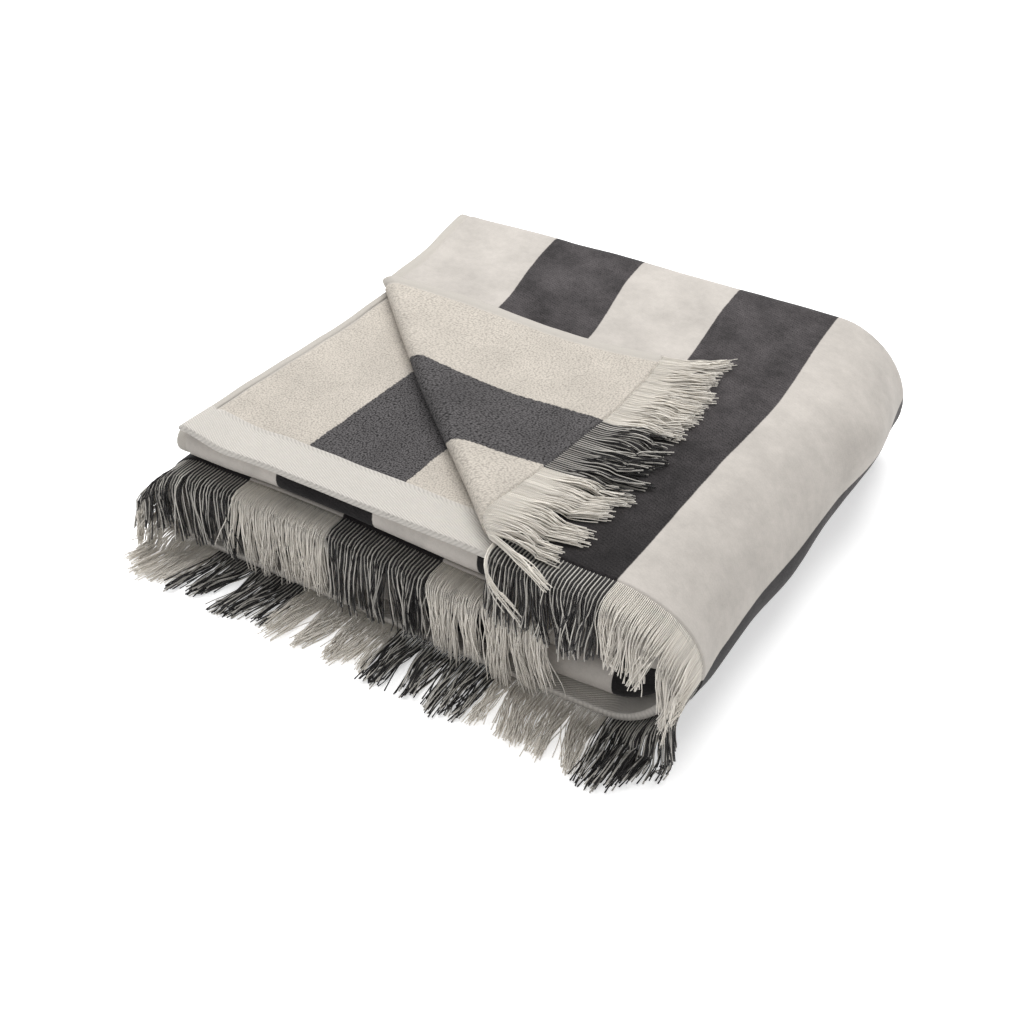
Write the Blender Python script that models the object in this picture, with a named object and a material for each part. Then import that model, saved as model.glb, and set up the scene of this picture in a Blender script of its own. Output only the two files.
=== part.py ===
"""A striped beach towel with a fringe at one end, folded in six along its length and in three across.

The cloth is cut flat, creased where it will bend, and then folded as a person folds it: the corner
of the fringed end turns back, the length is halved and folded in three, and the width is rolled in
three. Every point of the flat cloth goes through the same folds, so the towel stays one sheet of
its real size. Metres, +Z up, the folded towel lying on its largest panel.
"""

import math
import random

import bmesh
import bpy
from mathutils import Vector

# The towel laid flat. s runs along the length from the fringed end, t across it from a side hem.
CLOTH_WIDTH = 1.00
CLOTH_LENGTH = 1.80
STRIPE_COUNT = 15
HEM_WIDTH = 0.007
STRIPE = (CLOTH_WIDTH - 2 * HEM_WIDTH) / STRIPE_COUNT
PILE_HALF = 0.0016
HEM_HALF = 0.0012
BAND_HALF = 0.0011
BAND_WIDTH = 0.027
STEP_EASE = 0.0016

# The folded towel. PITCH is the distance from one layer to the next.
PITCH = 0.0050
FRONT_EDGE = 0.016
FRONT_TURN = 0.0235
INNER_FRONT_TURN = 0.0235
OUTER_BACK_TURN = 0.3145
INNER_BACK_TURN = 0.3045
LARGE_TURN = 1.5 * PITCH
SMALL_TURN = 0.5 * PITCH
TOP_RUN = 0.2705
RIGHT_TURN = 0.0425
BOTTOM_RUN = 0.2710
LEFT_TURN = 0.0275
LEFT_HEM_X = -0.004
RIGHT_TURN_LOFT = 0.40
RIGHT_TURN_LOFT_REACH = 0.095

# How far the layers have slipped to the left: the second one from outside, and those further in.
SECOND_SLIP = 0.0145
DEEP_SLIP = 0.0165
SLIP_START = TOP_RUN + 0.060
SLIP_FADE = 0.160

# How the pack leans, by depth from the front: the outer layer (crest) and those under it (rise).
LEAN_CREST = 0.0085
LEAN_CREST_DEPTH = 0.20
LEAN_CREST_REACH = 0.07
LEAN_BACK = 0.010
LEFT_SPREAD = 0.0020
LEFT_SPREAD_ZONE = (0.27, -0.20)
UNDER_RISE = 0.012
UNDER_RISE_START = 0.01
UNDER_RISE_REACH = 0.15
UNDER_BACK = 0.014
LEFT_LEAN = 0.001
LEFT_BACK_LEAN = 0.003
RIGHT_HOLD = 0.6

# The parts of the pack: where each starts and how far it takes to set in, below 0 if that way.
BACK_ZONE = (0.20, 0.12)
RIGHT_ZONE = (0.10, 0.16)
LEFT_ZONE = (0.08, -0.08)
LEFT_BACK_ZONE = (0.10, -0.10)

# How the pack has settled: shares of its height, and in metres where the middle sinks or an edge
# wanders. The waves are in radians a metre, each with its own start.
BACK_LOW = 0.020
LEFT_LOW = 0.010
UNEVEN = 0.010
UNEVEN_WAVE_X = {"rate": 9.0, "start": 2.0}
UNEVEN_WAVE_Y = {"rate": 11.0, "start": 0.6}
MIDDLE_SINK = 0.005
SINK_FROM_LEFT = (0.08, 0.11)
SINK_FROM_RIGHT = (0.27, -0.05)
EDGE_WANDER = 0.0015
EDGE_RATE_X = 9.0
EDGE_RATE_Z = 14.0
BACK_DRAWN_IN = 0.003

# The corner of the top layer that is turned back, by where its crease meets the two edges.
CREASE_ON_HEM = 0.194
CREASE_ON_END = 0.202
CREASE_TURN = 0.0045
CREASE_ANGLE = math.radians(182.0)
CREASE_PULL = 0.0105
CREASE_PULL_REACH = 0.030
CREASE_PULL_SHARE = 0.85
CORNER_FREE = 0.05
CORNER_DRAG = 0.0095
CORNER_DRAG_INWARD = 0.0045
CORNER_SAG = 0.0088
CORNER_BACK = 0.0033
CORNER_HEM_SAG = 0.012
CORNER_HEM_REACH = 0.16

# The free corner of the plain end, and how far it has moved.
END_CORNER = 0.045
END_CORNER_MOVE = Vector((0.002, 0.004, 0.0012))

# The fringe: a heading strip along the end, and the locks that grow out of it.
CLOTH_GAP = 0.0004
HEADING_END = 0.0055
HEADING_HALF = 0.0011
LOCKS_PER_STRIPE = 13
LOCK_SHARE = 0.76
LOCK_STEPS = 4
LOCK_TAPER = 0.55
LOCK_LENGTH = 0.052
LOCK_CLEAR = 0.0020
LOCK_UNEVEN = (0.93, 1.04)
LOCK_STRAY = 0.01
LOCK_FALL_START = 0.25
LOCK_LEAN_STEPS = 3.0
BARE_CREASE = 0.0055

# How finely the flat cloth is creased.
RUN_STEP = 0.080
LARGE_TURN_STEPS = 6
SMALL_TURN_STEPS = 4
WIDE_TURN_STEPS = 9
CREASE_TURN_STEPS = 8

SAME_PLACE = 1e-5
SHARP_ANGLE = math.radians(50)

CREAM = (0.80, 0.76, 0.69, 1.0)
CHARCOAL = (0.060, 0.058, 0.062, 1.0)
COTTON_ROUGHNESS = 0.95
DOWN = Vector((0.0, 0.0, -1.0))

# A path of legs: length, radius of the turn (0 for a straight run) and the side it turns to.
LEFT, RIGHT = 1, -1


def run(length):
    """A straight leg."""
    return (length, 0.0, LEFT)


def turn(radius, side, angle=math.pi):
    """A leg that turns to one side, half way round if nothing else is said."""
    return (radius * angle, radius, side)


# Six layers, in the plane of depth from the front (a) and layers in from the outside (b).
LENGTH_FOLD = {
    "start": (FRONT_EDGE, 0.0),
    "legs": (
        run(OUTER_BACK_TURN - FRONT_EDGE),
        turn(LARGE_TURN, LEFT),
        run(OUTER_BACK_TURN - INNER_FRONT_TURN),
        turn(SMALL_TURN, RIGHT),
        run(INNER_BACK_TURN - INNER_FRONT_TURN),
        turn(SMALL_TURN, LEFT),
        run(INNER_BACK_TURN - FRONT_TURN),
        turn(LARGE_TURN, LEFT),
        run(INNER_BACK_TURN - FRONT_TURN),
        turn(SMALL_TURN, RIGHT),
        run(CLOTH_LENGTH),
    ),
}

# Three panels, in the plane of x (a) and z (b): over the top, back underneath, and in between.
WIDTH_FOLD = {
    "start": (LEFT_HEM_X, PILE_HALF + 2 * RIGHT_TURN),
    "legs": (
        run(TOP_RUN),
        turn(RIGHT_TURN, RIGHT),
        run(BOTTOM_RUN),
        turn(LEFT_TURN, RIGHT),
        run(CLOTH_WIDTH),
    ),
}

# The corner rolls over its crease, in the plane across the crease (a) and above the cloth (b).
CORNER_FOLD = {
    "start": (0.0, 0.0),
    "legs": (turn(CREASE_TURN, LEFT, CREASE_ANGLE), run(CLOTH_WIDTH)),
}

# How far the right turn stands out at a depth from the front, as a share of what is past the top
# run: at the top of the pack (upper) and at its underside (lower).
BULGES = (
    {"depth": 0.012, "upper": 0.24, "lower": -0.05},
    {"depth": 0.045, "upper": 0.04, "lower": 0.10},
    {"depth": 0.090, "upper": 0.02, "lower": 0.09},
    {"depth": 0.140, "upper": 0.01, "lower": 0.19},
    {"depth": 0.190, "upper": 0.07, "lower": 0.09},
    {"depth": 0.250, "upper": 0.36, "lower": 0.02},
    {"depth": 0.330, "upper": 0.00, "lower": 0.12},
)

# How the locks lie, by their place across the towel in stripes: their length, the distance in
# which they fall over, and how far they lean towards +x. Locks between two rows lie between them.
FRINGE_LIE = (
    {"stripe": 0.0, "length": 0.76, "fall": 0.035, "lean": -0.30},
    {"stripe": 1.0, "length": 0.84, "fall": 0.035, "lean": -0.05},
    {"stripe": 2.5, "length": 0.84, "fall": 0.035, "lean": 0.20},
    {"stripe": 2.9, "length": 0.60, "fall": 0.035, "lean": 0.20},
    {"stripe": 3.1, "length": 0.84, "fall": 0.022, "lean": 0.10},
    {"stripe": 3.3, "length": 0.98, "fall": 0.020, "lean": 0.06},
    {"stripe": 4.2, "length": 1.00, "fall": 0.026, "lean": -0.10},
    {"stripe": 4.9, "length": 1.00, "fall": 0.044, "lean": -0.16},
    {"stripe": 5.2, "length": 1.00, "fall": 0.030, "lean": 0.04},
    {"stripe": 5.7, "length": 0.98, "fall": 0.020, "lean": 0.15},
    {"stripe": 6.3, "length": 0.92, "fall": 0.015, "lean": 0.22},
    {"stripe": 8.5, "length": 0.84, "fall": 0.015, "lean": -0.05},
    {"stripe": 9.6, "length": 0.82, "fall": 0.015, "lean": -0.20},
    {"stripe": 10.3, "length": 0.84, "fall": 0.024, "lean": -0.26},
    {"stripe": 11.0, "length": 0.86, "fall": 0.046, "lean": -0.24},
    {"stripe": 11.6, "length": 0.96, "fall": 0.027, "lean": -0.10},
    {"stripe": 13.0, "length": 1.04, "fall": 0.018, "lean": 0.04},
    {"stripe": 15.0, "length": 1.06, "fall": 0.018, "lean": 0.08},
)


def follow(path, distance):
    """Point and heading after a distance along a path; less than 0 goes straight back from its start."""
    a, b = path["start"]
    heading = 0.0
    for length, radius, side in path["legs"]:
        step = min(distance, length)
        if radius:
            turned = heading + side * step / radius
            a += side * radius * (math.sin(turned) - math.sin(heading))
            b -= side * radius * (math.cos(turned) - math.cos(heading))
            heading = turned
        else:
            a += step * math.cos(heading)
            b += step * math.sin(heading)
        distance -= step
        if distance <= 0:
            break
    return a, b, heading


def beside(path, distance, offset):
    """The point that lies offset to the right of a path, after a distance along it."""
    a, b, heading = follow(path, distance)
    return a + offset * math.sin(heading), b - offset * math.cos(heading)


def smooth(value):
    """0 below 0, 1 above 1, and an even rise between."""
    value = min(1.0, max(0.0, value))
    return value * value * (3.0 - 2.0 * value)


def ramp(value, zone):
    """0 before a zone, 1 past it, and an even rise between."""
    start, reach = zone
    return smooth((value - start) / reach)


def wave(place, wavy):
    """A wave along one direction, from its rate and start."""
    return math.sin(wavy["rate"] * place + wavy["start"])


def line(number):
    """The place across the towel where a stripe starts; the side hems lie outside the stripes."""
    return HEM_WIDTH + number * STRIPE


def between(table, key, value):
    """The row of a table at a value of its key, between the two nearest rows, and how far it is."""
    after = next((k for k, row in enumerate(table) if row[key] >= value), len(table) - 1)
    low, high = table[max(after, 1) - 1], table[max(after, 1)]
    return low, high, (value - low[key]) / (high[key] - low[key])


def crease_pull(along, beyond):
    """How far the cloth beside the crease has slipped: most where the crease meets the side hem."""
    near = math.exp(-((min(0.0, beyond) / CREASE_PULL_REACH) ** 2))
    length = CREASE_PULL_SHARE * math.hypot(CREASE_ON_HEM, CREASE_ON_END)
    fade = min(1.0, max(0.0, along / length))
    return CREASE_PULL * near * math.cos(fade * math.pi / 2)


def turn_corner(s, t, lift):
    """Rolls what lies beyond the crease back over the cloth; lift is the height on the outer face."""
    along = Vector((-CREASE_ON_HEM, CREASE_ON_END)).normalized()
    across = Vector((-along.y, along.x))
    from_hem = Vector((s - CREASE_ON_HEM, t))
    gone, beyond = from_hem.dot(along), from_hem.dot(across)
    if beyond <= 0.0:
        return s, t - crease_pull(gone, beyond), lift
    a, b = beside(CORNER_FOLD, beyond, -lift)
    placed = along * gone + across * a
    free = smooth(beyond / CORNER_FREE)
    inward = math.sin(math.pi * min(1.0, t / line(2)))
    from_tip = min(1.0, s / CREASE_ON_HEM)
    hem = math.sin(math.pi * from_tip) * (1.0 - from_tip) * (1.0 - smooth(t / CORNER_HEM_REACH))
    sag = CORNER_SAG * inward - CORNER_BACK + CORNER_HEM_SAG * hem
    drag = CORNER_DRAG + CORNER_DRAG_INWARD * inward
    back = placed.x + CREASE_ON_HEM - sag * free
    return back, placed.y + drag * free - crease_pull(gone, a), b


def loft(t):
    """How much further apart the layers lie where the whole pack turns over at the right."""
    middle = TOP_RUN + RIGHT_TURN * math.pi / 2
    away = min(1.0, abs(t - middle) / RIGHT_TURN_LOFT_REACH)
    return 1.0 + RIGHT_TURN_LOFT * math.cos(away * math.pi / 2) ** 2


def slip(t, inward):
    """How far a layer has slipped to the left against the outermost one."""
    second = smooth(inward / PITCH)
    deep = smooth((inward - PITCH) / PITCH)
    far = SECOND_SLIP * second + (DEEP_SLIP - SECOND_SLIP) * deep
    return far * smooth((SLIP_START - t) / SLIP_FADE)


def lean(x, y, inner):
    """How far the top of the pack leans to the right; inner is 0 in the outermost layer, else 1."""
    back = ramp(y, BACK_ZONE)
    crest = LEAN_CREST * math.exp(-(((y - LEAN_CREST_DEPTH) / LEAN_CREST_REACH) ** 2))
    outer = crest - LEAN_BACK * back - LEFT_SPREAD * ramp(x, LEFT_SPREAD_ZONE)
    rise = UNDER_RISE * min(1.0, max(0.0, (y - UNDER_RISE_START) / UNDER_RISE_REACH))
    under = rise - UNDER_BACK * back
    return outer + (under - outer) * inner


def bulge_at(depth, upper):
    """How far the right turn stands out at a depth; upper is 1 at the top, 0 at the underside."""
    low, high, share = between(BULGES, "depth", depth)
    share = smooth(share)
    above = low["upper"] + share * (high["upper"] - low["upper"])
    below = low["lower"] + share * (high["lower"] - low["lower"])
    return below + upper * (above - below)


def sunk(x, z):
    """How far the middle of the pack has sunk: most halfway up."""
    middle, top = 2 * LEFT_TURN, PILE_HALF + 2 * RIGHT_TURN
    level = z / middle if z < middle else (top - z) / (top - middle)
    return MIDDLE_SINK * ramp(x, SINK_FROM_LEFT) * ramp(x, SINK_FROM_RIGHT) * max(0.0, level)


def settle(x, y, z, inner=0.0):
    """The soft, uneven lie of the folded pack: lower at the back, with edges that wander."""
    share = z / (2 * RIGHT_TURN)
    back, right, left = ramp(y, BACK_ZONE), ramp(x, RIGHT_ZONE), ramp(x, LEFT_ZONE)
    height = 1.0 - BACK_LOW * back * (1.0 - right) - LEFT_LOW * left
    height -= UNEVEN * wave(x, UNEVEN_WAVE_X) * wave(y, UNEVEN_WAVE_Y)
    aside = lean(x, y, inner) - left * (LEFT_LEAN + LEFT_BACK_LEAN * back)
    beyond = max(0.0, x - TOP_RUN - LEFT_HEM_X)
    down = sunk(x, z)
    x += share * aside * (1.0 - RIGHT_HOLD * right) + bulge_at(y, smooth(share)) * beyond
    wander = EDGE_WANDER * math.sin(EDGE_RATE_X * x + EDGE_RATE_Z * z)
    y += share * (wander - BACK_DRAWN_IN * back * ramp(x, LEFT_BACK_ZONE))
    return Vector((x, y, z * height - down))


def end_corner(s, t):
    """How near a place is to the free corner of the plain end: 1 at it, 0 away from it."""
    from_end = (CLOTH_LENGTH - s) / (2 * END_CORNER)
    return (1.0 - smooth(t / END_CORNER)) * (1.0 - smooth(from_end))


def fold(s, t, lift):
    """Where a point of the flat towel comes to lie in the folded one."""
    s, t, lift = turn_corner(s, t, lift)
    y, inward = beside(LENGTH_FOLD, s, lift)
    offset = inward * loft(t) if inward > 0 else inward
    x, z = beside(WIDTH_FOLD, t - slip(t, inward), offset)
    return settle(x, y, z, smooth(inward / PITCH)) + END_CORNER_MOVE * end_corner(s, t)


def marks(path, steps, run_step):
    """Distances along a path where the cloth is creased: evenly in its runs, closer in its turns."""
    found, start = [], 0.0
    for length, radius, _side in path["legs"]:
        count = steps[radius] if radius else max(1, round(length / run_step))
        found += [start + length * (k + 1) / count for k in range(count)]
        start += length
    return found


def half_thickness(s, t):
    """Half the cloth's thickness: full pile, with thinner side hems and a flat band at the plain end."""
    from_hem = min(t, CLOTH_WIDTH - t)
    pile = HEM_HALF + (PILE_HALF - HEM_HALF) * smooth((from_hem - HEM_WIDTH) / STEP_EASE)
    in_band = smooth((s - (CLOTH_LENGTH - BAND_WIDTH)) / STEP_EASE)
    return pile + (BAND_HALF - pile) * in_band


def cut(sheet, point, normal, faces=None):
    """Creases the flat sheet along a line, or only the given faces of it."""
    faces = list(sheet.faces) if faces is None else faces
    edges = {edge for face in faces for edge in face.edges}
    verts = {vert for face in faces for vert in face.verts}
    bmesh.ops.bisect_plane(
        sheet, geom=[*verts, *edges, *faces], plane_co=point, plane_no=normal, dist=SAME_PLACE
    )


def flat_cloth():
    """The towel laid flat, one rectangle creased along every line where it will bend."""
    sheet = bmesh.new()
    corners = [(0, 0), (CLOTH_LENGTH, 0), (CLOTH_LENGTH, CLOTH_WIDTH), (0, CLOTH_WIDTH)]
    sheet.faces.new([sheet.verts.new((s, t, 0.0)) for s, t in corners])
    length_steps = {LARGE_TURN: LARGE_TURN_STEPS, SMALL_TURN: SMALL_TURN_STEPS}
    width_steps = {RIGHT_TURN: WIDE_TURN_STEPS, LEFT_TURN: WIDE_TURN_STEPS}
    band = CLOTH_LENGTH - BAND_WIDTH
    for s in [*marks(LENGTH_FOLD, length_steps, RUN_STEP), band, band + STEP_EASE]:
        if s < CLOTH_LENGTH:
            cut(sheet, (s, 0, 0), (1, 0, 0))
    lines = [line(k) for k in range(1, STRIPE_COUNT)]
    for hem in (HEM_WIDTH, HEM_WIDTH + STEP_EASE):
        lines += [hem, CLOTH_WIDTH - hem]
    for t in [*marks(WIDTH_FOLD, width_steps, CLOTH_WIDTH), *lines]:
        if t < CLOTH_WIDTH:
            cut(sheet, (0, t, 0), (0, 1, 0))
    across = Vector((-CREASE_ON_END, -CREASE_ON_HEM, 0.0)).normalized()
    for k in range(CREASE_TURN_STEPS + 1):
        beyond = CREASE_TURN * CREASE_ANGLE * k / CREASE_TURN_STEPS
        point = Vector((CREASE_ON_HEM, 0.0, 0.0)) + across * beyond
        centres = [(face, face.calc_center_median()) for face in sheet.faces]
        top = [f for f, c in centres if c.x < OUTER_BACK_TURN - FRONT_EDGE and c.y < TOP_RUN]
        cut(sheet, point, across, top)
    return sheet


def thicken(sheet, half):
    """Gives a flat sheet its two faces and its edges; half is a function of s and t."""
    top = bmesh.ops.extrude_face_region(sheet, geom=list(sheet.faces))["geom"]
    raised = {item for item in top if isinstance(item, bmesh.types.BMVert)}
    for vert in sheet.verts:
        vert.co.z = half(vert.co.x, vert.co.y) * (1.0 if vert in raised else -1.0)


def place_folded(sheet):
    """Moves every point of a thickened flat sheet to where the folds take it, faces outward."""
    bmesh.ops.recalc_face_normals(sheet, faces=list(sheet.faces))
    for vert in sheet.verts:
        vert.co = fold(*vert.co)
    if sheet.calc_volume(signed=True) < 0.0:
        bmesh.ops.reverse_faces(sheet, faces=list(sheet.faces))
    sheet.normal_update()


def lie_at(stripe):
    """How a lock lies at a place across the towel, between the two nearest rows of the table."""
    low, high, share = between(FRINGE_LIE, "stripe", stripe)
    return {key: low[key] + share * (high[key] - low[key]) for key in low}


def lock_path(root, outward, stripe, chance):
    """Points down one lock: it leaves the heading straight, falls over, and lies on what is below."""
    lie = lie_at(stripe)
    on_top = line(stripe) < CREASE_ON_END
    step = LOCK_LENGTH * lie["length"] * chance.uniform(*LOCK_UNEVEN) / LOCK_STEPS
    side = Vector((0.0, -1.0, 0.0)) if on_top else Vector((1.0, 0.0, 0.0))
    points = [root]
    for k in range(LOCK_STEPS):
        falling = smooth((k + 0.5) * step / lie["fall"] - LOCK_FALL_START)
        stray = chance.uniform(-LOCK_STRAY, LOCK_STRAY)
        aside = (lie["lean"] + stray) * smooth((k + 1) / LOCK_LEAN_STEPS)
        level = Vector((outward.x, outward.y, 0.0)).normalized() + side * aside
        heading = level.normalized() * (1.0 - falling) + (DOWN + side * aside) * falling
        place = points[-1] + heading.normalized() * step
        lowest = settle(place.x, place.y, 2 * (RIGHT_TURN + PILE_HALF)).z if on_top else 0.0
        lowest += LOCK_CLEAR
        if place.z < lowest:
            drop = min(step, max(0.0, points[-1].z - lowest))
            place = points[-1] + level.normalized() * math.sqrt(step * step - drop * drop)
            place.z = max(lowest, points[-1].z - drop)
        points.append(place)
    return points


def grow_lock(comb, root_face, stripe, chance):
    """Draws one face of the heading strip out into a lock with four sides."""
    root = root_face.calc_center_median()
    verts = list(root_face.verts)
    outward = root_face.normal.copy()
    offsets = [vert.co - root for vert in verts]
    points = lock_path(root, outward, stripe, chance)
    face, direction = root_face, outward
    for k in range(1, LOCK_STEPS + 1):
        ahead = points[min(k + 1, LOCK_STEPS)] - points[k - 1]
        bend = direction.rotation_difference(ahead.normalized())
        direction = ahead.normalized()
        offsets = [bend @ offset for offset in offsets]
        size = 1.0 - LOCK_TAPER * (k / LOCK_STEPS) ** 2
        face = bmesh.ops.extrude_discrete_faces(comb, faces=[face])["faces"][0]
        for vert, offset in zip(face.verts, offsets):
            vert.co = points[k] + offset * size


def finish(name, sheet, colours):
    """Makes a closed mesh object; colours are its materials, and a face keeps its material number."""
    bmesh.ops.triangulate(sheet, faces=list(sheet.faces))
    mesh = bpy.data.meshes.new(name)
    sheet.to_mesh(mesh)
    sheet.free()
    for colour in colours:
        mesh.materials.append(colour)
    mesh.shade_smooth()
    mesh.set_sharp_from_angle(angle=SHARP_ANGLE)
    made = bpy.data.objects.new(name, mesh)
    bpy.context.scene.collection.objects.link(made)
    return made


def make_towel(cream, charcoal):
    """The cloth, one sheet with its side hems and flat end band, striped along its length."""
    sheet = flat_cloth()
    for face in sheet.faces:
        middle = face.calc_center_median()
        in_band = middle.x > CLOTH_LENGTH - BAND_WIDTH
        stripe = min(STRIPE_COUNT - 1, max(0, int((middle.y - HEM_WIDTH) / STRIPE)))
        face.material_index = 0 if in_band else stripe % 2
    thicken(sheet, half_thickness)
    place_folded(sheet)
    return finish("towel_cloth", sheet, (cream, charcoal))


def make_fringe(stripe, colour):
    """The fringe of one stripe: its piece of the heading strip with its locks."""
    chance = random.Random(stripe)
    start = line(stripe) + CLOTH_GAP / 2 if stripe else 0.0
    end = line(stripe + 1) - CLOTH_GAP / 2 if stripe + 1 < STRIPE_COUNT else CLOTH_WIDTH
    pitch = (end - start) / LOCKS_PER_STRIPE
    comb = bmesh.new()
    corners = [(-HEADING_END, start), (-CLOTH_GAP, start), (-CLOTH_GAP, end), (-HEADING_END, end)]
    comb.faces.new([comb.verts.new((s, t, 0.0)) for s, t in corners])
    for k in range(LOCKS_PER_STRIPE):
        for edge in ((1 - LOCK_SHARE) / 2, (1 + LOCK_SHARE) / 2):
            cut(comb, (0, start + (k + edge) * pitch, 0), (0, 1, 0))
    thicken(comb, lambda _s, _t: HEADING_HALF)
    roots = []
    for k in range(LOCKS_PER_STRIPE):
        middle = Vector((-HEADING_END, start + (k + 0.5) * pitch, 0.0))
        roots.append(min(comb.faces, key=lambda face: (face.calc_center_median() - middle).length))
    place_folded(comb)
    for k, root in enumerate(roots):
        place = (start + (k + 0.5) * pitch - HEM_WIDTH) / STRIPE
        if abs(line(place) - CREASE_ON_END) > BARE_CREASE:
            grow_lock(comb, root, place, chance)
    return finish(f"fringe_{stripe + 1:02d}", comb, (colour,))


def make_material(name, colour, roughness):
    """A plain surface of one colour."""
    made = bpy.data.materials.new(name)
    made.use_nodes = True
    shader = made.node_tree.nodes["Principled BSDF"]
    shader.inputs["Base Color"].default_value = colour
    shader.inputs["Roughness"].default_value = roughness
    made.diffuse_color = colour
    return made


def centre_on_floor(made):
    """Moves all meshes so that the origin is under the middle of the whole towel."""
    spots = [vert.co for piece in made for vert in piece.data.vertices]
    low = [min(spot[axis] for spot in spots) for axis in range(3)]
    high = [max(spot[axis] for spot in spots) for axis in range(3)]
    shift = Vector((-(low[0] + high[0]) / 2, -(low[1] + high[1]) / 2, -low[2]))
    for piece in made:
        for vert in piece.data.vertices:
            vert.co += shift
    print("shift", [round(value, 5) for value in shift])


def main():
    """Clears the scene and makes the towel and its fringe."""
    for old in list(bpy.data.objects):
        bpy.data.objects.remove(old)
    cream = make_material("cream_cotton", CREAM, COTTON_ROUGHNESS)
    charcoal = make_material("charcoal_cotton", CHARCOAL, COTTON_ROUGHNESS)
    made = [make_towel(cream, charcoal)]
    made += [make_fringe(k, (cream, charcoal)[k % 2]) for k in range(STRIPE_COUNT)]
    centre_on_floor(made)
    print("triangles", sum(len(piece.data.polygons) for piece in made))
    print({piece.name: len(piece.data.polygons) for piece in made})


main()
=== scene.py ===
"""The looks of a striped beach towel with a fringed end, folded into a square pack.

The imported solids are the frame. This script lays a finer sheet of cloth through the same folds, with
its turned hems, twill band and heading, grows the fringe yarn by yarn, gives each face of the cloth
its own pile, and sets up a plain studio. Metres, +Z up, in the frame of the solids.
"""

import logging
import math
import random
from dataclasses import dataclass, field
from enum import Enum
from typing import Callable, Iterable, Sequence

import bmesh
import bpy
import numpy as np
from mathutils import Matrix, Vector, noise


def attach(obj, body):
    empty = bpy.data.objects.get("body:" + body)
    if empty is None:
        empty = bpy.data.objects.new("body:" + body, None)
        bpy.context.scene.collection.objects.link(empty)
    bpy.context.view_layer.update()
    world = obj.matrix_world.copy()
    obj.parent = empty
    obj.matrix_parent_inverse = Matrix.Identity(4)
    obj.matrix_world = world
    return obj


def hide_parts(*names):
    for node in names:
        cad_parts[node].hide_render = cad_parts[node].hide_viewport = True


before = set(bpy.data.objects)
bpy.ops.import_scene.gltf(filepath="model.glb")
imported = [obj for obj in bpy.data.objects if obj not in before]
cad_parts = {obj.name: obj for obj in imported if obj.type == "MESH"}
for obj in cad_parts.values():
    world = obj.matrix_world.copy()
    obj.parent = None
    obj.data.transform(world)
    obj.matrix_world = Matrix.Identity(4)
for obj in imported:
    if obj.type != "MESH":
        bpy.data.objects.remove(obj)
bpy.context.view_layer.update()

LOG = logging.getLogger("towel")
FLAT = "flat"
YARN = "yarn"
Colour = tuple[float, float, float]
Span = tuple[float, float]


# ---------------------------------------------------------------- the towel and its folds


class Side(Enum):
    """The side that a path turns to."""

    LEFT = 1
    RIGHT = -1


class Face(Enum):
    """The faces of the cloth, each with its own finish; the value is its material slot."""

    VELOUR = 0
    TERRY = 1
    BAND = 2
    HEM = 3


def smooth(value: float) -> float:
    """Gives 0 below 0, 1 above 1, and an even rise between."""
    value = min(1.0, max(0.0, value))
    return value * value * (3.0 - 2.0 * value)


@dataclass(frozen=True)
class Zone:
    """A stretch over which something sets in, from its start; a reach below 0 runs back."""

    start: float
    reach: float

    def at(self, place: float) -> float:
        """Gives 0 before the zone, 1 past it, and an even rise between."""
        return smooth((place - self.start) / self.reach)


@dataclass(frozen=True)
class Leg:
    """One leg of a fold path: straight where its radius is 0."""

    length: float
    radius: float = 0.0
    side: Side = Side.LEFT


def half_turn(radius: float, side: Side, angle: float = math.pi) -> Leg:
    """Makes the leg that turns over, half way round if nothing else is said."""
    return Leg(radius * angle, radius, side)


@dataclass(frozen=True)
class FoldPath:
    """A path in a plane that cloth follows as it is folded."""

    start: tuple[float, float]
    legs: tuple[Leg, ...]

    def beside(self, distance: float, offset: float) -> tuple[float, float]:
        """Finds the point that lies to the right of the path.

        Args:
            distance: how far along the path; less than 0 goes straight back from its start.
            offset: how far to the right of it.

        Returns:
            The point's two coordinates in the plane of the path.
        """
        a, b = self.start
        heading = 0.0
        for leg in self.legs:
            step = min(distance, leg.length)
            if leg.radius:
                side = leg.side.value
                turned = heading + side * step / leg.radius
                a += side * leg.radius * (math.sin(turned) - math.sin(heading))
                b -= side * leg.radius * (math.cos(turned) - math.cos(heading))
                heading = turned
            else:
                a += step * math.cos(heading)
                b += step * math.sin(heading)
            distance -= step
            if distance <= 0.0:
                break
        return a + offset * math.sin(heading), b - offset * math.cos(heading)

    def marks(self, run_steps: Sequence[float], turn_step: float) -> list[float]:
        """Lists distances along the path at which cloth that follows it is creased.

        Args:
            run_steps: the spacing in each straight leg, in their order.
            turn_step: the spacing in the turns.

        Returns:
            The distances, in order, without the start.
        """
        found: list[float] = []
        start, runs = 0.0, iter(run_steps)
        for leg in self.legs:
            step = turn_step if leg.radius else next(runs)
            count = max(10 if leg.radius else 1, round(leg.length / step))
            found += [start + leg.length * (k + 1) / count for k in range(count)]
            start += leg.length
        return found


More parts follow.
